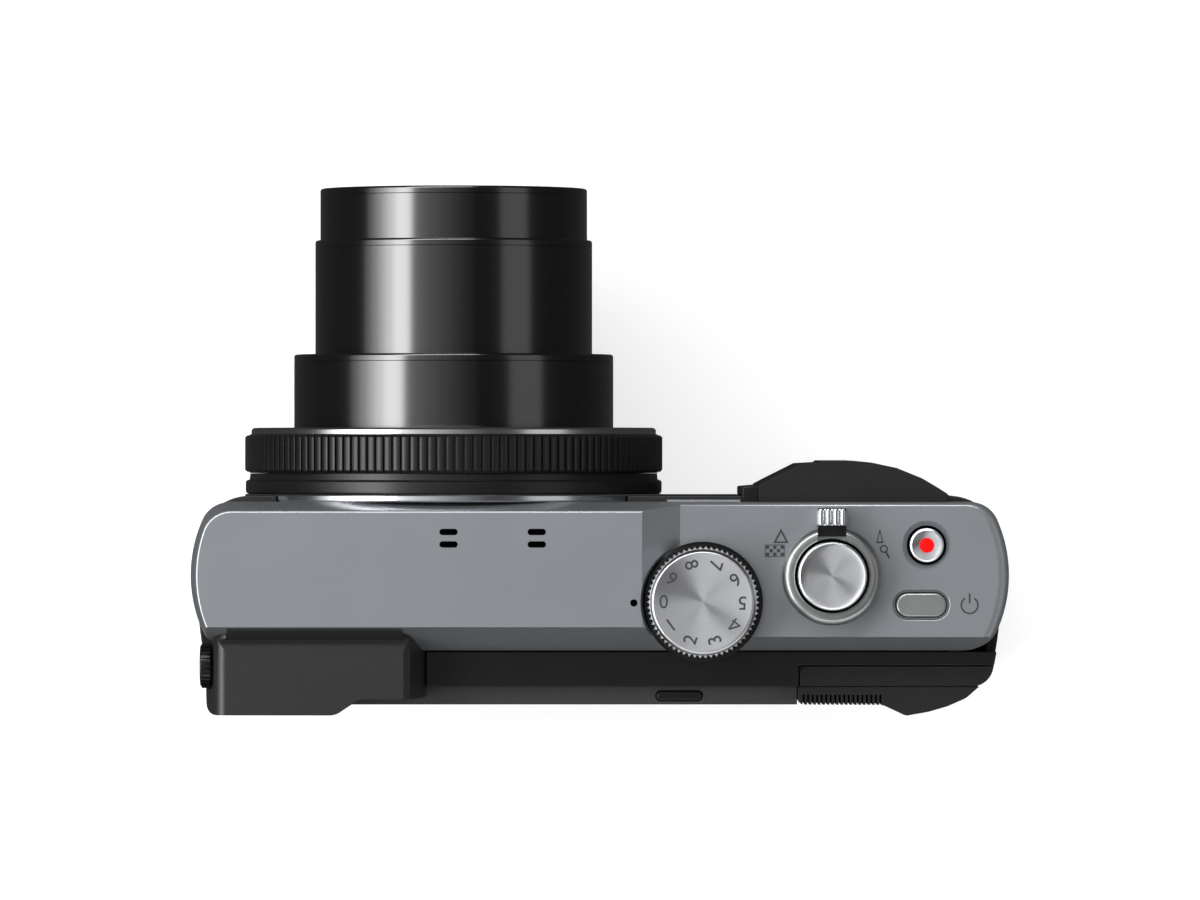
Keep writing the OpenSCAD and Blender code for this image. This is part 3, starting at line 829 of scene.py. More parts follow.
class CAMERA_OT_case(bpy.types.Operator):
    """Models the black front and rear covers and the base plate"""

    bl_idname = "camera_model.case"
    bl_label = "Front, rear and base"

    def execute(self, context):
        s = sizes()
        front = plate("front_shell", plan(CASE_PLAN), BASE_T, CASE_TOP)
        combine(front, [block("rear_half", (-WIDE, SEAM_Y, 0), FAR_CORNER)])
        soften(front, s.seam_round, 2)
        openings = [
            plate("inner", plan(CASE_PLAN, WALL), 0, ABOVE),
            lens_hole(LENS_BORE, PAST_FRONT, IN_FRONT),
            lens_hole(29.3 * MM, PAST_FRONT, TOP_LOW.y),
            rod("lamp_hole", middle("focus_lamp_window"), 2.1 * MM, PAST_FRONT, IN_FRONT, "y"),
            block("strap_hole", (-PAST_SIDE, -7 * MM, 40 * MM), (-IN_SIDE, -1.5 * MM, 46 * MM)),
            block("terminal_hole", (-PAST_SIDE, box("terminal_door")[0].y - 0.1 * MM, 13.9 * MM),
                  (-IN_SIDE, -1.0 * MM, 36.1 * MM)),
        ]
        combine(front, openings)
        done(front, "camera", "black_case", "front_cover")

        shelf_z, eye_shelf_z = box("rear_cover")[1].z, box("viewfinder_housing")[0].z
        rear = plate("rear_shell", plan(CASE_PLAN), BASE_T, shelf_z)
        eye_x = box("viewfinder_housing")[0].x - 0.1 * MM
        combine(rear, [
            block("front_half", (-WIDE, FAR_FRONT, 0), (WIDE, SEAM_Y, ABOVE)),
            block("under_top", (-WIDE, FAR_FRONT, CASE_TOP), (WIDE, 7 * MM, ABOVE)),
            block("under_eye", (eye_x, FAR_FRONT, eye_shelf_z), FAR_CORNER),
        ])
        combine(rear, [block("flap_recess", (-PAST_SIDE, 8.85 * MM, shelf_z - 0.62 * MM),
                             (-27.4 * MM, FAR_REAR, ABOVE))])
        soften(rear, 0.3 * MM, 3)
        inner = plate("inner", plan(CASE_PLAN, WALL), 0, eye_shelf_z - WALL)
        combine(inner, [block("inner_trim", (-WIDE, BACK_Y - WALL, BELOW), FAR_CORNER)])
        panel_low, panel_high = box("display_panel")
        combine(rear, [
            inner,
            block("screen_hole", (panel_low.x, 9 * MM, panel_low.z), (panel_high.x, PAST_REAR, panel_high.z)),
            rod("wheel_bore", WHEEL, 2.35 * MM, 9 * MM, PAST_REAR, "y", 48),
            *[rod("button_bore", middle(n), 2.1 * MM, 9 * MM, PAST_REAR, "y", 48)
              for n in ("playback_button", "display_button", "delete_button")],
            rod("lock_bore", middle("lock_button"), 2.5 * MM, 9 * MM, PAST_REAR, "y", 48),
        ])
        done(rear, "camera", "black_case", "rear_cover", material=satin_black())

        refined("base_plate", "base_shell", "camera", "black_case", 0.18 * MM, angle=30)
        return {"FINISHED"}


class CAMERA_OT_grips(bpy.types.Operator):
    """Models the rubber front grip and the ribbed thumb rest"""

    bl_idname = "camera_model.grips"
    bl_label = "Grips"

    def execute(self, context):
        low, high = box("front_grip")
        back = TOP_LOW.y + 0.1 * MM
        bulge = [(-21.8, -15.9), (-23.2, -16.65), (-27.6, -18.85), (-30.4, -19.0), (-30.6, -19.25), (-34.6, -19.25),
                 (-37.2, -19.0), (-40.7, -18.25), (-44.1, -16.87), (-46.2, -15.64), (-47.7, -14.68), (-47.8, -13.8)]
        outline = mm(bulge)
        grip = plate("front_grip_skin", [*outline, (outline[-1][0], back), (outline[0][0], back)], low.z, high.z)
        combine(grip, [block("behind", (-PAST_SIDE, FRONT_Y, 0), (0, 0, CASE_TOP))])
        soften(grip, sizes().rubber_round * 0.45, 4, 25)
        done(grip, "camera", "black_rubber", "front_grip")
        inner_x, outer_x = -19.6 * MM, -21.9 * MM
        ledge = plate("grip_ledge", [(outer_x, -15.8 * MM), (outer_x, back), (inner_x, back), (inner_x, -15.6 * MM)],
                      low.z, high.z - 2 * MM)
        combine(ledge, [block("behind", (-PAST_SIDE, FRONT_Y, 0), (0, 0, CASE_TOP))])
        soften(ledge, 0.2 * MM, 2)
        done(ledge, "camera", "satin_black")
        thumb_low, thumb_high = box("thumb_rest")
        edge = [(-27.28, 11.8, 0), (-27.28, 14.25, 0.9), (-38.9, 14.3, 2), (-42.1, 15.8, 1.2), (-45.2, 15.25, 3),
                (-47.8, 14.5, 4), (-50.4, 13.35, 3), (-51.8, 12.1, 2), (-52.2, 11.8, 0)]
        thumb = plate("thumb_rest_skin", mm(rounded_loop(edge, 1)), thumb_low.z, thumb_high.z)
        flap = plate("flap", plan(CASE_PLAN, 0.05 * MM), thumb_high.z - 0.6 * MM, thumb_high.z)
        corner = rounded_loop([(-60, 8.95, 0), (-27.55, 8.95, 1.3), (-27.55, 13, 0), (-60, 13, 0)], 0, 6)
        combine(flap, [plate("flap_area", mm(corner), 40 * MM, 60 * MM)], "INTERSECT")
        combine(thumb, [flap], "UNION")
        soften(thumb, 0.55 * MM, 5, 40)
        first, pitch, half = -28.05, 0.62, 0.14
        grooves = [block("groove", ((x - half) * MM, 12.9 * MM, thumb_low.z + 2 * MM),
                         ((x + half) * MM, 15 * MM, 60 * MM)) for x in [first - pitch * k for k in range(18)]]
        combine(thumb, [joined("grooves", grooves)])
        done(thumb, "camera", "black_rubber", "thumb_rest")
        return {"FINISHED"}


class CAMERA_OT_viewfinder(bpy.types.Operator):
    """Models the viewfinder housing, eyecup, eyepiece lens and diopter dial"""

    bl_idname = "camera_model.viewfinder"
    bl_label = "Viewfinder"

    def execute(self, context):
        low, high = box("viewfinder_housing")
        outline = [(low.x, 0, 0), (high.x, 0, 0), (high.x, 5 * MM, 1 * MM), (high.x - 0.35 * MM, high.y, 1.6 * MM),
                   (36 * MM, high.y, 2.5 * MM), (32.7 * MM, 13.3 * MM, 2.5 * MM), (low.x, 13.3 * MM, 0.5 * MM)]
        house = plate("viewfinder_shell", rounded_loop(outline, 1, 6), low.z, high.z)
        foot = low.z / MM
        side = [(7.05, foot), (17, foot), (17, 59.45), (6.8, 59.45), (5.3, 58.9), (3.82, 61.75), (3.66, 61.75),
                (6.9, 51.6)]
        keep = plate("keep", mm(side), 0, PAST_SIDE, "x")
        combine(house, [keep], "INTERSECT")
        left, right = high.x / MM, low.x / MM
        across = [(right, foot), (left, foot), (left, foot + 1.5), (52.5, 58.3), (51.9, 59.0), (50.9, 59.45),
                  (50.6, 62), (27, 62), (26.7, 59.45), (25.8, 58.7), (right, foot + 1.5)]
        combine(house, [plate("keep", mm(across), 0, 30 * MM, "y")], "INTERSECT")
        soften(house, 0.38 * MM, 4, 28)
        corners = [(EYE.x + x * 7.1 * MM, EYE.z + z * 4.4 * MM) for x, z in ((-1, -1), (1, -1), (1, 1), (-1, 1))]
        pocket = plate("pocket", rounded_loop(corners, 3 * MM, 6), 14.2 * MM, PAST_REAR, "y")
        combine(house, [
            rod("eye_bore", EYE, 4.2 * MM, 7.9 * MM, PAST_REAR, "y"),
            pocket,
            rod("dial_slot", middle("diopter_dial"), 3.3 * MM, 52.8 * MM, PAST_SIDE, "x"),
        ])
        done(house, "camera", "satin_black", "viewfinder_housing", material=housing_black())
        refined("eyecup", "eyecup_rubber", "camera", "black_rubber", 0.4 * MM, 4)
        lens_low, lens_high = box("viewfinder_lens")
        middle_y = lens_high.y - 0.6 * MM
        eyepiece = turned("eyepiece_glass", [(0, -lens_low.y), (4.15 * MM, -lens_low.y), (4.15 * MM, -middle_y),
                                             (3.2 * MM, -middle_y - 0.35 * MM), (1.7 * MM, -middle_y - 0.52 * MM),
                                             (0, -lens_high.y)], (EYE.x, 0, EYE.z), steps=64)
        done(eyepiece, "camera", "lens_glass", "viewfinder_lens")
        dial_low, dial_high = box("diopter_dial")
        centre = middle("diopter_dial")
        wheel = rod("diopter_wheel", centre, 2.85 * MM, dial_high.x - 1.6 * MM, dial_high.x, "x", 48)
        soften(wheel, 0.2 * MM, 3)
        tooth = block("tooth", (dial_high.x - 1.4 * MM, centre.y - 0.12 * MM, centre.z + 2.8 * MM),
                      (dial_high.x - 0.2 * MM, centre.y + 0.12 * MM, centre.z + 3.08 * MM))
        ring_copies(tooth, 30, centre, (1, 0, 0))
        stub = rod("stub", centre, 0.8 * MM, dial_low.x, dial_high.x - 1.5 * MM, "x", 24)
        done(joined("diopter_wheel", [wheel, tooth, stub]), "diopter_dial", "satin_black", "diopter_dial")
        return {"FINISHED"}


class CAMERA_OT_lens_rings(bpy.types.Operator):
    """Turns the base ring, trim rings and the ribbed control ring"""

    bl_idname = "camera_model.lens_rings"
    bl_label = "Lens rings"

    def execute(self, context):
        s = sizes()
        fixed, neck = 24.05, -RING_HIGH.y / MM - 0.06
        trim = turned("lens_trim", mm([(fixed, 13.6), (28.9, 13.6), (29.1, 13.8), (29.1, 14.4), (28.95, 14.6),
                                       (fixed, 14.6)]), LENS)
        done(trim, "camera", "bright_metal", "lens_trim_ring")
        base = turned("lens_base", mm([
            (fixed, 14.6), (28.6, 14.6), (28.9, 14.75), (29.0, 15.0), (29.0, 16.3), (28.8, 16.5), (28.45, 16.6),
            (28.35, neck), (25.6, neck), (25.6, 23.0), (fixed, 23.0)]), LENS)
        done(base, "camera", "black_metal", "lens_base_ring")
        # The control ring is a plain core with one rib that is copied round it.
        radius = RING_HIGH.x - LENS.x
        near, far = -RING_HIGH.y, -RING_LOW.y
        root = radius - 0.42 * MM
        core = turned("ring_core", [
            (25.65 * MM, near), (root - 0.3 * MM, near), (root, near + 0.35 * MM), (root, far - 0.35 * MM),
            (root - 0.3 * MM, far), (25.65 * MM, far)], LENS)
        pitch = TURN * radius / s.ring_ribs
        rib = block("rib", (LENS.x - pitch * 0.39, -far + 0.15 * MM, LENS.z + root - 0.3 * MM),
                    (LENS.x + pitch * 0.39, -near - 0.15 * MM, LENS.z + radius - 0.004 * MM))
        bevel_edges(rib, lambda a, b: min(a.z, b.z) > LENS.z + root and abs(a.y - b.y) < MM, 0.3 * MM, 1)
        bevel_edges(rib, lambda a, b: min(a.z, b.z) > LENS.z + root - 0.1 * MM and abs(a.y - b.y) > MM,
                    0.08 * MM, 2)
        ring_copies(rib, s.ring_ribs, LENS, (0, 1, 0))
        done(joined("control_ring_ribbed", [core, rib]), "control_ring", "black_metal", "control_ring",
             weighted=False)
        front = turned("ring_front_trim", mm([(25.9, 22.9), (28.2, 22.9), (28.2, 23.5), (27.95, 23.75), (27.6, 23.8),
                                              (26.2, 23.8), (25.9, 23.6)]), LENS)
        done(front, "control_ring", "bright_metal", "control_ring_trim")
        return {"FINISHED"}


def barrel_profile(outer, inner, lip, rear, rim, lip_depth):
    """Loop of a tube with a rounded rim, a fine step behind it and a narrower lip in front."""
    r = 0.35 * MM
    loop = [(inner, rear), (outer - 0.2 * MM, rear), (outer, rear + 0.2 * MM), (outer, rim - 1.05 * MM),
            (outer - 0.05 * MM, rim - MM), (outer, rim - 0.95 * MM)]
    loop += [(outer - r + r * math.cos(a), rim - r + r * math.sin(a))
             for a in [math.radians(18 * k) for k in range(0, 6)]]
    return loop + [(lip, rim), (lip, rim - lip_depth), (inner, rim - lip_depth)]


class CAMERA_OT_barrels(bpy.types.Operator):
    """Turns the outer, middle and front lens barrels"""

    bl_idname = "camera_model.barrels"
    bl_label = "Barrels"

    def execute(self, context):
        for node, name, radii, lip_depth, flange in (
                ("outer_barrel", "outer_tube", (22.25, 20.6, 19.42), 1.2, 0),
                ("middle_barrel", "middle_tube", (19.3, 18.75, 18.72), 0.6, 2 * MM),
                ("front_barrel", "front_tube", (18.6, 17.6, 17.0), 0.9, 0)):
            low, high = box(node)
            rear, rim = -high.y, -low.y
            outer, inner, lip = (radius * MM for radius in radii)
            pieces = [turned(name, barrel_profile(outer, inner, lip, rear + flange, rim, lip_depth * MM), LENS)]
            if flange:
                pieces.append(turned("flange", [(inner, rear), (20.45 * MM, rear), (20.45 * MM, rear + flange),
                                                (inner, rear + flange)], LENS))
            done(joined(name, pieces), node, "gloss_barrel", node, weighted=False)
        face = turned("window_face", above(rim, (6, -2.5), (17.55, -2.5), (17.55, -0.95), (16.9, -0.9), (16.3, -1.0),
                                           (12.5, -1.15), (11.3, -1.6), (6, -1.75)), LENS)
        window = rod("window", LENS, 10.4 * MM, -rim - MM, -rim + 4 * MM, "y", 128)
        flat, past, wide = 7.6 * MM, 17.6 * MM, 20 * MM
        trims = [block("trim", (LENS.x - wide, -rim - 2 * MM, LENS.z + low_edge),
                       (LENS.x + wide, -rim + 5 * MM, LENS.z + high_edge))
                 for low_edge, high_edge in ((flat, past), (-past, -flat))]
        combine(window, trims)
        combine(face, [window])
        done(face, "front_barrel", "satin_black")
        return {"FINISHED"}


class CAMERA_OT_lens_front(bpy.types.Operator):
    """Turns the front lens element and finishes the barrier blades"""

    bl_idname = "camera_model.lens_front"
    bl_label = "Front lens and barrier"

    def execute(self, context):
        low, high = box("front_lens")
        crown = [(30 * MM * math.sin(math.radians(28 * k / 12)),
                  -low.y - 30 * MM + 30 * MM * math.cos(math.radians(28 * k / 12))) for k in range(12, -1, -1)]
        element = turned("front_element", [(0, -high.y), (17.4 * MM, -high.y), (17.4 * MM, -high.y + 6 * MM),
                                           (14.4 * MM, -high.y + 6 * MM), *crown], LENS, steps=128)
        done(element, "front_barrel", "lens_glass", "front_lens")
        for side in ("upper", "lower"):
            node = "barrier_blade_" + side
            refined(node, side + "_blade", node, "satin_black", 0.08 * MM, angle=50)
        return {"FINISHED"}


class CAMERA_OT_mode_dial(bpy.types.Operator):
    """Models the mode dial with its teeth, spun face and numbers"""

    bl_idname = "camera_model.mode_dial"
    bl_label = "Mode dial"

    def execute(self, context):
        s = sizes()
        low, high = box("mode_dial")
        skirt_r = (high.x - low.x) / 2
        top = high.z
        skirt = turned("dial_skirt", [
            (2.4 * MM, low.z), (2.5 * MM, low.z), (2.5 * MM, DECK + 0.3 * MM),
            (skirt_r - 0.1 * MM, DECK + 0.3 * MM), (skirt_r, DECK + 0.4 * MM), (skirt_r, DECK + 1.9 * MM),
            (skirt_r - 0.3 * MM, DECK + 2.2 * MM), (2.4 * MM, DECK + 2.2 * MM)], DIAL, (0, 0, 1), 96)
        done(skirt, "mode_dial", "satin_black")
        teeth = []
        for k in range(s.dial_teeth):
            for share, radius in ((0, 7.62 * MM), (0.42, 7.12 * MM)):
                a = TURN * (k + share) / s.dial_teeth
                teeth.append((DIAL.x + radius * math.cos(a), DIAL.y + radius * math.sin(a)))
        knurl = plate("knurl", teeth, DECK + 2.2 * MM, top - 0.45 * MM)
        crown = turned("crown", above(top, (0, -1.2), (7.3, -1.2), (7.3, -0.5), (7.22, -0.36), (6.85, -0.04),
                                      (6.75, 0), (6.6, -0.03), (0, -0.03)), DIAL, (0, 0, 1), 128)
        done(joined("dial_cap", [crown, knurl]), "mode_dial", "spun_metal", "mode_dial", weighted=False)
        ink = mark_paint()
        face = top - 0.03 * MM
        for k in range(10):
            a = math.pi - TURN * k / 10
            spot = (DIAL.x - 5.35 * MM * math.cos(a), DIAL.y + 5.35 * MM * math.sin(a))
            if k == 4:
                self.four(spot, 2.6 * MM, -a, face, ink)
                continue
            text_mark("dial_number_%02d" % k, str(k), spot, 2.6 * MM, -a, face, "mode_dial", ink)
        return {"FINISHED"}

    def four(self, spot, size, turn, face, ink):
        """A drawn 4, because the font's own closes up when it becomes a mesh."""
        turned_by = Matrix.Rotation(turn, 2)

        def laid(points):
            return [tuple(Vector(spot) + turned_by @ Vector(p) * size) for p in points]

        shape = plate("dial_number_04", laid([
            (0.11, -0.35), (0.2, -0.35), (0.2, -0.18), (0.29, -0.18), (0.29, -0.1), (0.2, -0.1), (0.2, 0.35),
            (0.09, 0.35), (-0.25, -0.1), (-0.25, -0.18), (0.11, -0.18)]), face, face + sizes().mark_height)
        combine(shape, [plate("hole", laid([(0.11, -0.1), (0.11, 0.22), (-0.13, -0.1)]), face - MM, face + MM)])
        done(shape, "mode_dial", "satin_black", material=ink, weighted=False)


class CAMERA_OT_zoom_lever(bpy.types.Operator):
    """Models the zoom lever's ring, neck and ridged tab"""

    bl_idname = "camera_model.zoom_lever"
    bl_label = "Zoom lever"

    def execute(self, context):
        low, high = box("zoom_lever")
        seat, top = DECK + 0.3 * MM, DECK + 3.6 * MM
        ring = turned("lever_ring", [
            *above(low.z, (5.05, 0), (5.5, 0)), *above(seat, (5.5, 0), (6.5, 0), (6.74, 0.3)),
            *above(top, (6.76, -0.75), (6.66, -0.5), (6.1, -0.04), (6.0, 0), (5.2, 0), (5.12, -0.05), (5.05, -0.3))],
            SHUTTER, (0, 0, 1), 128)
        x, y, half = SHUTTER.x, SHUTTER.y, 1.95 * MM
        combine(ring, [block("notch", (x - half, y - 7.4 * MM, seat + 0.9 * MM), (x + half, y, top + MM))])
        done(ring, "zoom_lever", "spun_metal", "zoom_lever",
             material=plain_finish("lever_metal", (0.42, 0.445, 0.435), 1, 0.34, 1200, 0.0008 * MM))
        neck = block("lever_neck", (x - half, y - 7.4 * MM, seat + 0.5 * MM),
                     (x + half, y - 5.35 * MM, top - 0.9 * MM))
        soften(neck, 0.1 * MM, 2)
        done(neck, "zoom_lever", "satin_black")
        tab = block("tab", (x - 2.05 * MM, low.y, seat + 0.2 * MM),
                    (x + 2.05 * MM, y - 6.8 * MM, high.z - 0.35 * MM))
        soften(tab, 0.3 * MM, 3)
        ridges = []
        for k in range(4):
            spot = x + (k - 1.5) * 1.0 * MM
            ridge = rod("ridge", (spot, 0, high.z - 0.4 * MM), 0.4 * MM, low.y + 0.1 * MM, y - 6.9 * MM, "y", 20)
            ridges.append(soften(ridge, 0.12 * MM, 2, 60))
        done(joined("lever_tab", [tab, *ridges]), "zoom_lever", "spun_metal", material=bright_metal())
        return {"FINISHED"}


class CAMERA_OT_shutter_button(bpy.types.Operator):
    """Turns the shutter button"""

    bl_idname = "camera_model.shutter_button"
    bl_label = "Shutter button"

    def execute(self, context):
        low, high = box("shutter_button")
        r = (high.x - low.x) / 2
        top = high.z
        dish = [(4.3 * MM * k / 8, top - 0.28 * MM + 0.2 * MM * (k / 8) ** 2) for k in range(7, -1, -1)]
        button = turned("shutter_cap", [
            (0, low.z), (1.5 * MM, low.z), (1.5 * MM, DECK - MM), (r, DECK - MM), (r, top - 0.35 * MM),
            (r - 0.12 * MM, top - 0.1 * MM), (r - 0.3 * MM, top), (r - 0.42 * MM, top - 0.04 * MM), *dish],
            SHUTTER, (0, 0, 1), 128)
        done(button, "shutter_button", "spun_metal", "shutter_button",
             material=spun_metal("spun_shutter", SHUTTER), weighted=False)
        return {"FINISHED"}


class CAMERA_OT_top_buttons(bpy.types.Operator):
    """Models the movie and power buttons"""

    bl_idname = "camera_model.top_buttons"
    bl_label = "Movie and power buttons"

    def execute(self, context):
        low, high = box("movie_button")
        top = high.z - 0.1 * MM
        cap = turned("movie_cap", [
            (0, low.z), (2.35 * MM, low.z), *above(top, (2.35, -0.35), (2.25, -0.1), (2.05, 0), (1.8, -0.05),
                                                   (1.0, -0.25), (0, -0.25))], MOVIE, (0, 0, 1), 96)
        done(cap, "movie_button", "spun_metal", "movie_button", material=spun_metal("spun_movie", MOVIE),
             weighted=False)
        dot = turned("movie_dot", above(top, (0, -0.3), (1.02, -0.3), (1.0, -0.12), (0.85, -0.08), (0, -0.07)),
                     MOVIE, (0, 0, 1), 48)
        done(dot, "movie_button", "amber_window", material=red_dot(), weighted=False)
        low, high = box("power_button")
        cap = plate("power_cap", pill_outline(POWER, 6.85 * MM, 3.25 * MM, 20), low.z, high.z)
        soften(cap, 0.3 * MM, 4, 40)
        done(cap, "power_button", "spun_metal", "power_button",
             material=plain_finish("grey_metal", (0.33, 0.35, 0.34), 0.8, 0.32, 1200, 0.0008 * MM))
        return {"FINISHED"}


class CAMERA_OT_marks(bpy.types.Operator):
    """Lays the generic zoom and power marks on the deck"""

    bl_idname = "camera_model.marks"
    bl_label = "Deck marks"

    def execute(self, context):
        ink, top, height = mark_paint(), DECK, sizes().mark_height
        mark = []

        def lie(outline, hole=None):
            obj = plate("mark", mm(outline), top, top + height)
            if hole:
                combine(obj, [plate("hole", mm(hole), top - MM, top + MM)])
            mark.append(obj)

        def finished(name):
            done(joined(name, mark), "camera", "satin_black", material=ink, weighted=False)
            mark.clear()

        def stroke(a, b, width=0.24):
            a, b = Vector(a), Vector(b)
            side = (b - a).orthogonal().normalized() * width / 2
            lie([a + side, a - side, b - side, b + side])

        for name, x, half in (("wide_mark", -24.8, 1.05), ("tele_mark", -38.3, 0.5)):
            lie([(x - half, -8.0), (x, -10.0), (x + half, -8.0)],
                [(x - half * 0.62, -8.22), (x, -9.45), (x + half * 0.62, -8.22)])
            finished(name)
        lie([(-22.6, -7.78), (-25.3, -7.78), (-25.3, -6.12), (-22.6, -6.12)],
            [(-22.7, -7.68), (-25.2, -7.68), (-25.2, -6.22), (-22.7, -6.22)])
        for column in range(5):
            for row in range(3):
                if (column + row) % 2 == 0:
                    x, y = -22.75 - 0.5 * column, -7.65 + 0.48 * row
                    lie([(x, y), (x - 0.44, y), (x - 0.44, y + 0.44), (x, y + 0.44)])
        finished("index_view_mark")
        lie(circle_outline((-38.85, -7.2), 0.55, 32), circle_outline((-38.85, -7.2), 0.36, 32))
        stroke((-39.15, -6.75), (-39.6, -5.95), 0.26)
        finished("magnify_mark")
        x, y = -50.55, 0.48
        ring = [(x + r * math.sin(math.radians(a)), y - r * math.cos(math.radians(a)))
                for r, angles in ((1.25, range(35, 330, 10)), (1.02, range(325, 30, -10))) for a in angles]
        lie(ring)
        stroke((x, y - 1.6), (x, y - 0.25), 0.24)
        finished("power_mark")
        return {"FINISHED"}


class CAMERA_OT_display(bpy.types.Operator):
    """Models the display's frame and glass, and the button on its upper edge"""

    bl_idname = "camera_model.display"
    bl_label = "Display"

    def execute(self, context):
        bezel_black = plain_finish("bezel_black", (0.03, 0.03, 0.031), 0, 0.36, 2600, 0.002 * MM)
        refined("display_frame", "display_bezel", "camera", "satin_black", 0.3 * MM, 3, material=bezel_black)
        refined("display_glass", "display_window", "camera", "screen_glass", 0.15 * MM)
        refined("viewfinder_button", "viewfinder_key", "viewfinder_button", "satin_black", 0.2 * MM, 3)
        return {"FINISHED"}


class CAMERA_OT_rear_controls(bpy.types.Operator):
    """Models the rear dial, the menu button and the four small buttons"""

    bl_idname = "camera_model.rear_controls"
    bl_label = "Rear controls"

    def execute(self, context):
        low, high = box("control_dial")
        r = (high.x - low.x) / 2
        centre = (WHEEL.x, 0, WHEEL.z)
        face = high.y
        wheel = turned("rear_wheel", [
            (1.5 * MM, low.y), (2.3 * MM, low.y), (2.3 * MM, BACK_Y + 0.2 * MM), (r - 0.3 * MM, BACK_Y + 0.2 * MM),
            (r - 0.1 * MM, BACK_Y + 0.6 * MM), (r - 0.1 * MM, face - 0.4 * MM), (r - 0.5 * MM, face - 0.05 * MM),
            (r - 1.2 * MM, face), (5.2 * MM, face - 0.3 * MM), (4.5 * MM, face - 0.35 * MM),
            (4.3 * MM, face - 0.6 * MM), (4.3 * MM, BACK_Y + 0.5 * MM), (1.5 * MM, BACK_Y + 0.5 * MM)],
            centre, (0, 1, 0), 96)
        tooth = block("tooth", (WHEEL.x - 0.14 * MM, BACK_Y + 0.7 * MM, WHEEL.z + r - 0.3 * MM),
                      (WHEEL.x + 0.14 * MM, face - 0.5 * MM, WHEEL.z + r))
        ring_copies(tooth, 60, WHEEL, (0, 1, 0))
        done(joined("rear_wheel", [wheel, tooth]), "control_dial", "satin_black", "control_dial", weighted=False)
        low, high = box("menu_button")
        cap = turned("menu_cap", [
            *above(low.y, (0, 0), (1.4, 0)), *above(BACK_Y, (1.4, 1.1), (4.05, 1.1)),
            *above(high.y, (4.05, -0.2), (3.85, 0), (3.2, -0.08), (0, -0.2))], centre, (0, 1, 0), 64)
        done(cap, "menu_button", "satin_black", "menu_button", weighted=False)
        for name in ("lock_button", "playback_button", "display_button", "delete_button"):
            low, high = box(name)
            spot, r = middle(name), (high.x - low.x) / 2
            cap = turned(name + "_cap", [
                (0, low.y), (r, low.y), (r, high.y - 0.25 * MM), (r - 0.08 * MM, high.y - 0.08 * MM),
                (r - 0.25 * MM, high.y), (r * 0.6, high.y - 0.04 * MM), (0, high.y - 0.08 * MM)],
                (spot.x, 0, spot.z), (0, 1, 0), 48)
            done(cap, name, "satin_black", name, weighted=False)
        self.marks()
        return {"FINISHED"}

    def marks(self):
        """Raised generic marks on the rear buttons and round the rear dial."""
        ink = mark_paint("pale_mark", (0.42, 0.42, 0.43))

        def raised(name, node, outlines, sink=0.1 * MM):
            spot, face = middle(node), box(node)[1].y
            plates = [plate("mark", [(spot.x - x * MM, spot.z + z * MM) for x, z in outline],
                            face - sink, face - sink + 0.08 * MM, "y") for outline in outlines]
            done(joined(name, plates), node, "satin_black", material=ink, weighted=False)

        def bar(x, z, half, thick=0.12):
            return [(x - half, z - thick), (x + half, z - thick), (x + half, z + thick), (x - half, z + thick)]

        raised("play_mark", "playback_button", [[(-0.55, -0.65), (0.7, 0), (-0.55, 0.65)]])
        raised("info_mark", "display_button", [bar(0, 0.5, 0.7), bar(0, 0, 0.7), bar(0, -0.5, 0.7)])
        bin_body = [(-0.5, 0.35), (-0.35, -0.7), (0.35, -0.7), (0.5, 0.35)]
        raised("bin_mark", "delete_button", [bar(0, 0.6, 0.75, 0.1), bin_body])
        raised("lock_mark", "lock_button", [bar(0, -0.25, 0.5, 0.4), bar(-0.3, 0.4, 0.08, 0.25),
                                            bar(0.3, 0.4, 0.08, 0.25), bar(0, 0.6, 0.38, 0.08)])
        raised("menu_mark", "menu_button", [bar(0, 0.8, 1.5, 0.16), bar(0, 0, 1.5, 0.16), bar(0, -0.8, 1.5, 0.16)],
               0.22 * MM)
        arrows = []
        for k in range(4):
            turn = Matrix.Rotation(TURN * k / 4, 2)
            arrows.append([tuple(turn @ Vector(v)) for v in ((-0.55, 5.5), (0, 6.2), (0.55, 5.5))])
        raised("dial_arrows", "control_dial", arrows, 0.3 * MM)


class CAMERA_OT_doors(bpy.types.Operator):
    """Finishes the battery door, its latch and the terminal door"""

    bl_idname = "camera_model.doors"
    bl_label = "Doors"

    def execute(self, context):
        for node, name, slot, width, share in (
                ("battery_door", "battery_flap", "black_case", 0.15, 1),
                ("door_latch", "latch_slide", "satin_black", 0.1, 0.975),
                ("terminal_door", "terminal_flap", "black_rubber", 0.2, 1),
                ("battery", "battery_pack", "battery_wrap", 0.6, 1),
                ("memory_card", "memory_card_shell", "card_plastic", 0.3, 1)):
            refined(node, name, node, slot, width * MM, share=share)
        return {"FINISHED"}


class CAMERA_OT_fittings(bpy.types.Operator):
    """Gives the frame nodes that stay in view or inside their finishes"""

    bl_idname = "camera_model.fittings"
    bl_label = "Fittings and insides"

    def execute(self, context):
        slots = {s["node"]: s["material_slot"] for s in frame["record"]["subparts"]}
        for name, node in frame["nodes"].items():
            if node.hide_render:
                continue
            node.data.materials.clear()
            node.data.materials.append(SLOT_FINISHES[slots[name]]())
        return {"FINISHED"}


LAMP_TARGET, LAMP_REACH = Vector((0, -10 * MM, 30 * MM)), 2.6
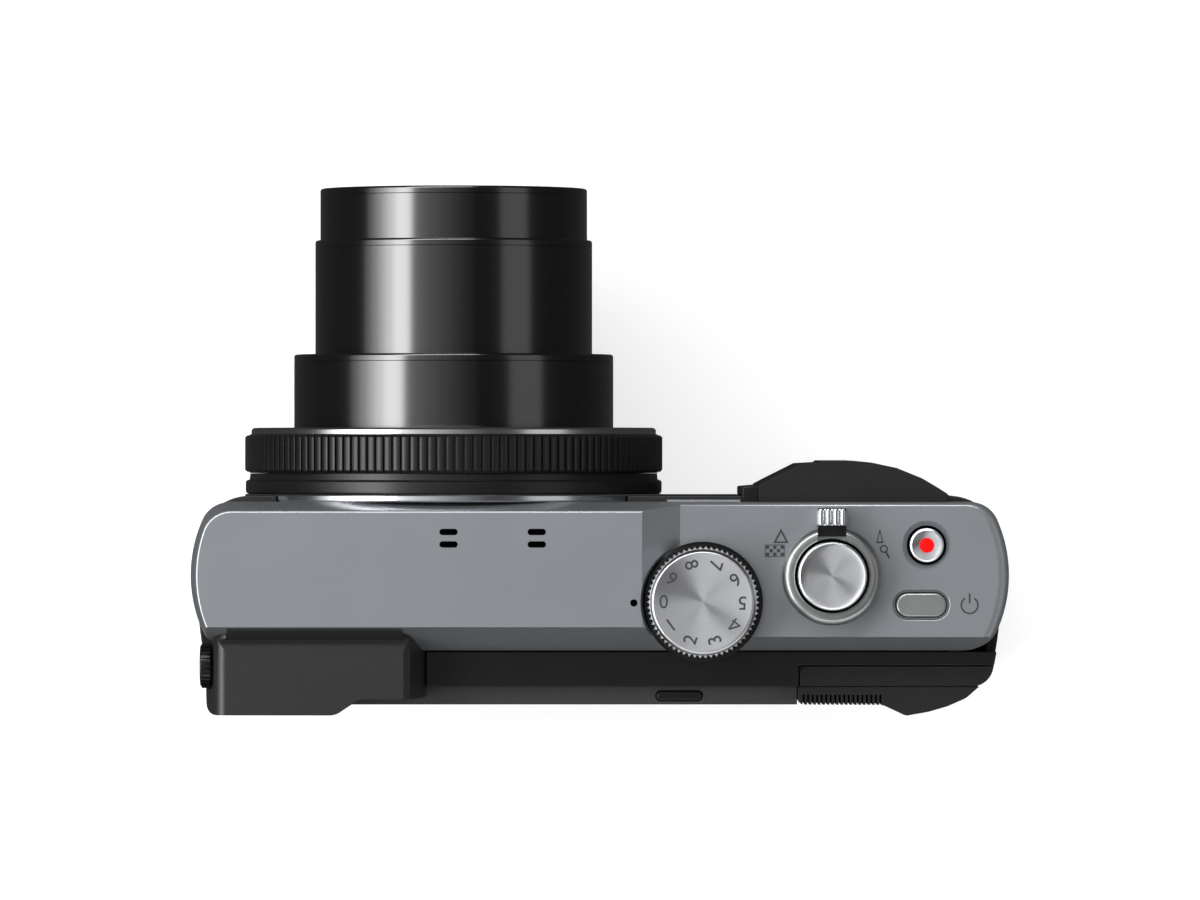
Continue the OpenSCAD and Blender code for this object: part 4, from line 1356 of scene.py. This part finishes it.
# Each lamp's name, tilt from straight up, bearing from +X, breadth and length as angles, and radiance.
LAMPS = (
    ("key_a", 56.5, 0, 43, 54, 0.9), ("key_b", 53, 0, 36, 54, 1.2), ("key_c", 49.5, 0, 29, 54, 1.6),
    ("key_d", 46.5, 0, 23, 54, 2.0), ("key_e", 43.5, 0, 14, 54, 2.6), ("front", 45, -75, 18, 50, 9),
    ("side_a", 54, 180, 26, 50, 0.6), ("side_b", 54, 180, 19, 50, 1.1), ("side_c", 54, 180, 12, 50, 1.6),
    ("side_d", 54, 180, 6, 50, 1.8), ("rear", 50, 90, 20, 60, 1.6), ("rear_low", 68, 105, 36, 80, 0.8),
    ("overhead_a", 9.5, 0, 51, 50, 0.1), ("overhead_b", 14, 0, 42, 50, 0.13), ("overhead_c", 18.5, 0, 33, 50, 0.16),
    ("overhead_d", 23, 0, 24, 50, 0.18), ("overhead_e", 28, 0, 14, 50, 0.2),
)
CAMERA_PLACE = (-0.1 * MM, -20.7 * MM, 1.281)
SENSOR_WIDTH, FOCAL_LENGTH = 36, 268.8


class CAMERA_OT_stage(bpy.types.Operator):
    """Sets the pale floor, the studio lights and the camera"""

    bl_idname = "camera_model.stage"
    bl_label = "Stage"

    def execute(self, context):
        deselect()
        bpy.ops.mesh.primitive_plane_add(size=12, location=(0, 0, 0))
        floor = bpy.context.object
        floor.name = "floor"
        f = Finish("floor", (0.45, 0.45, 0.45), 0, 0.9, Emission_Color=(1, 1, 1, 1), Emission_Strength=0.65)
        f.vary_colour(f.noise(30, 2), 0.995, 1.0)
        floor.data.materials.append(f.material)
        floor.visible_glossy = False

        world = bpy.data.worlds.new("studio")
        world.use_nodes = True
        sky = world.node_tree.nodes["Background"].inputs
        sky["Color"].default_value, sky["Strength"].default_value = (1, 1, 1, 1), 0.045
        context.scene.world = world
        for name, tilt, bearing, breadth, length, radiance in LAMPS:
            tilt, bearing = math.radians(tilt), math.radians(bearing)
            way = Vector((math.sin(tilt) * math.cos(bearing), math.sin(tilt) * math.sin(bearing), math.cos(tilt)))
            deselect()
            bpy.ops.object.light_add(type="AREA", location=LAMP_TARGET + way * LAMP_REACH)
            lamp = bpy.context.object
            lamp.name = name
            lamp.data.shape = "RECTANGLE"
            wide, long = (2 * LAMP_REACH * math.tan(math.radians(a) / 2) for a in (breadth, length))
            lamp.data.size, lamp.data.size_y = long, wide
            lamp.data.energy = radiance * math.pi * wide * long
            lamp.rotation_euler = way.to_track_quat("Z", "Y").to_euler()
            lamp.visible_camera = False
        deselect()
        bpy.ops.object.camera_add(location=CAMERA_PLACE, rotation=(0, 0, math.pi))
        camera = bpy.context.object
        camera.data.sensor_width, camera.data.lens = SENSOR_WIDTH, FOCAL_LENGTH
        camera.data.clip_start, camera.data.clip_end = 0.05, 20
        context.scene.camera = camera
        context.scene.view_settings.view_transform = "Standard"
        return {"FINISHED"}


PIECES = (
    CAMERA_OT_stage, CAMERA_OT_top_cover, CAMERA_OT_case, CAMERA_OT_grips, CAMERA_OT_viewfinder,
    CAMERA_OT_lens_rings, CAMERA_OT_barrels, CAMERA_OT_lens_front, CAMERA_OT_mode_dial, CAMERA_OT_zoom_lever,
    CAMERA_OT_shutter_button, CAMERA_OT_top_buttons, CAMERA_OT_marks, CAMERA_OT_display,
    CAMERA_OT_rear_controls, CAMERA_OT_doors, CAMERA_OT_fittings,
)


class CAMERA_PT_sidebar(bpy.types.Panel):
    """Lists the camera's pieces"""

    bl_idname = "CAMERA_PT_sidebar"
    bl_label = "Compact camera"
    bl_space_type = "VIEW_3D"
    bl_region_type = "UI"
    bl_category = "Camera"

    def draw(self, context):
        for group in (context.scene.camera_sizes, context.scene.camera_colours):
            for key in group.__annotations__:
                self.layout.prop(group, key)
        for piece in PIECES:
            self.layout.operator(piece.bl_idname)


CLASSES = (CameraSizes, CameraColours, *PIECES, CAMERA_PT_sidebar)


def register():
    for item in CLASSES:
        bpy.utils.register_class(item)
    bpy.types.Scene.camera_sizes = bpy.props.PointerProperty(type=CameraSizes)
    bpy.types.Scene.camera_colours = bpy.props.PointerProperty(type=CameraColours)


def unregister():
    del bpy.types.Scene.camera_sizes
    del bpy.types.Scene.camera_colours
    for item in reversed(CLASSES):
        bpy.utils.unregister_class(item)


def main():
    register()
    for piece in PIECES:
        group, name = piece.bl_idname.split(".")
        getattr(getattr(bpy.ops, group), name)()


if __name__ == "__main__":
    main()
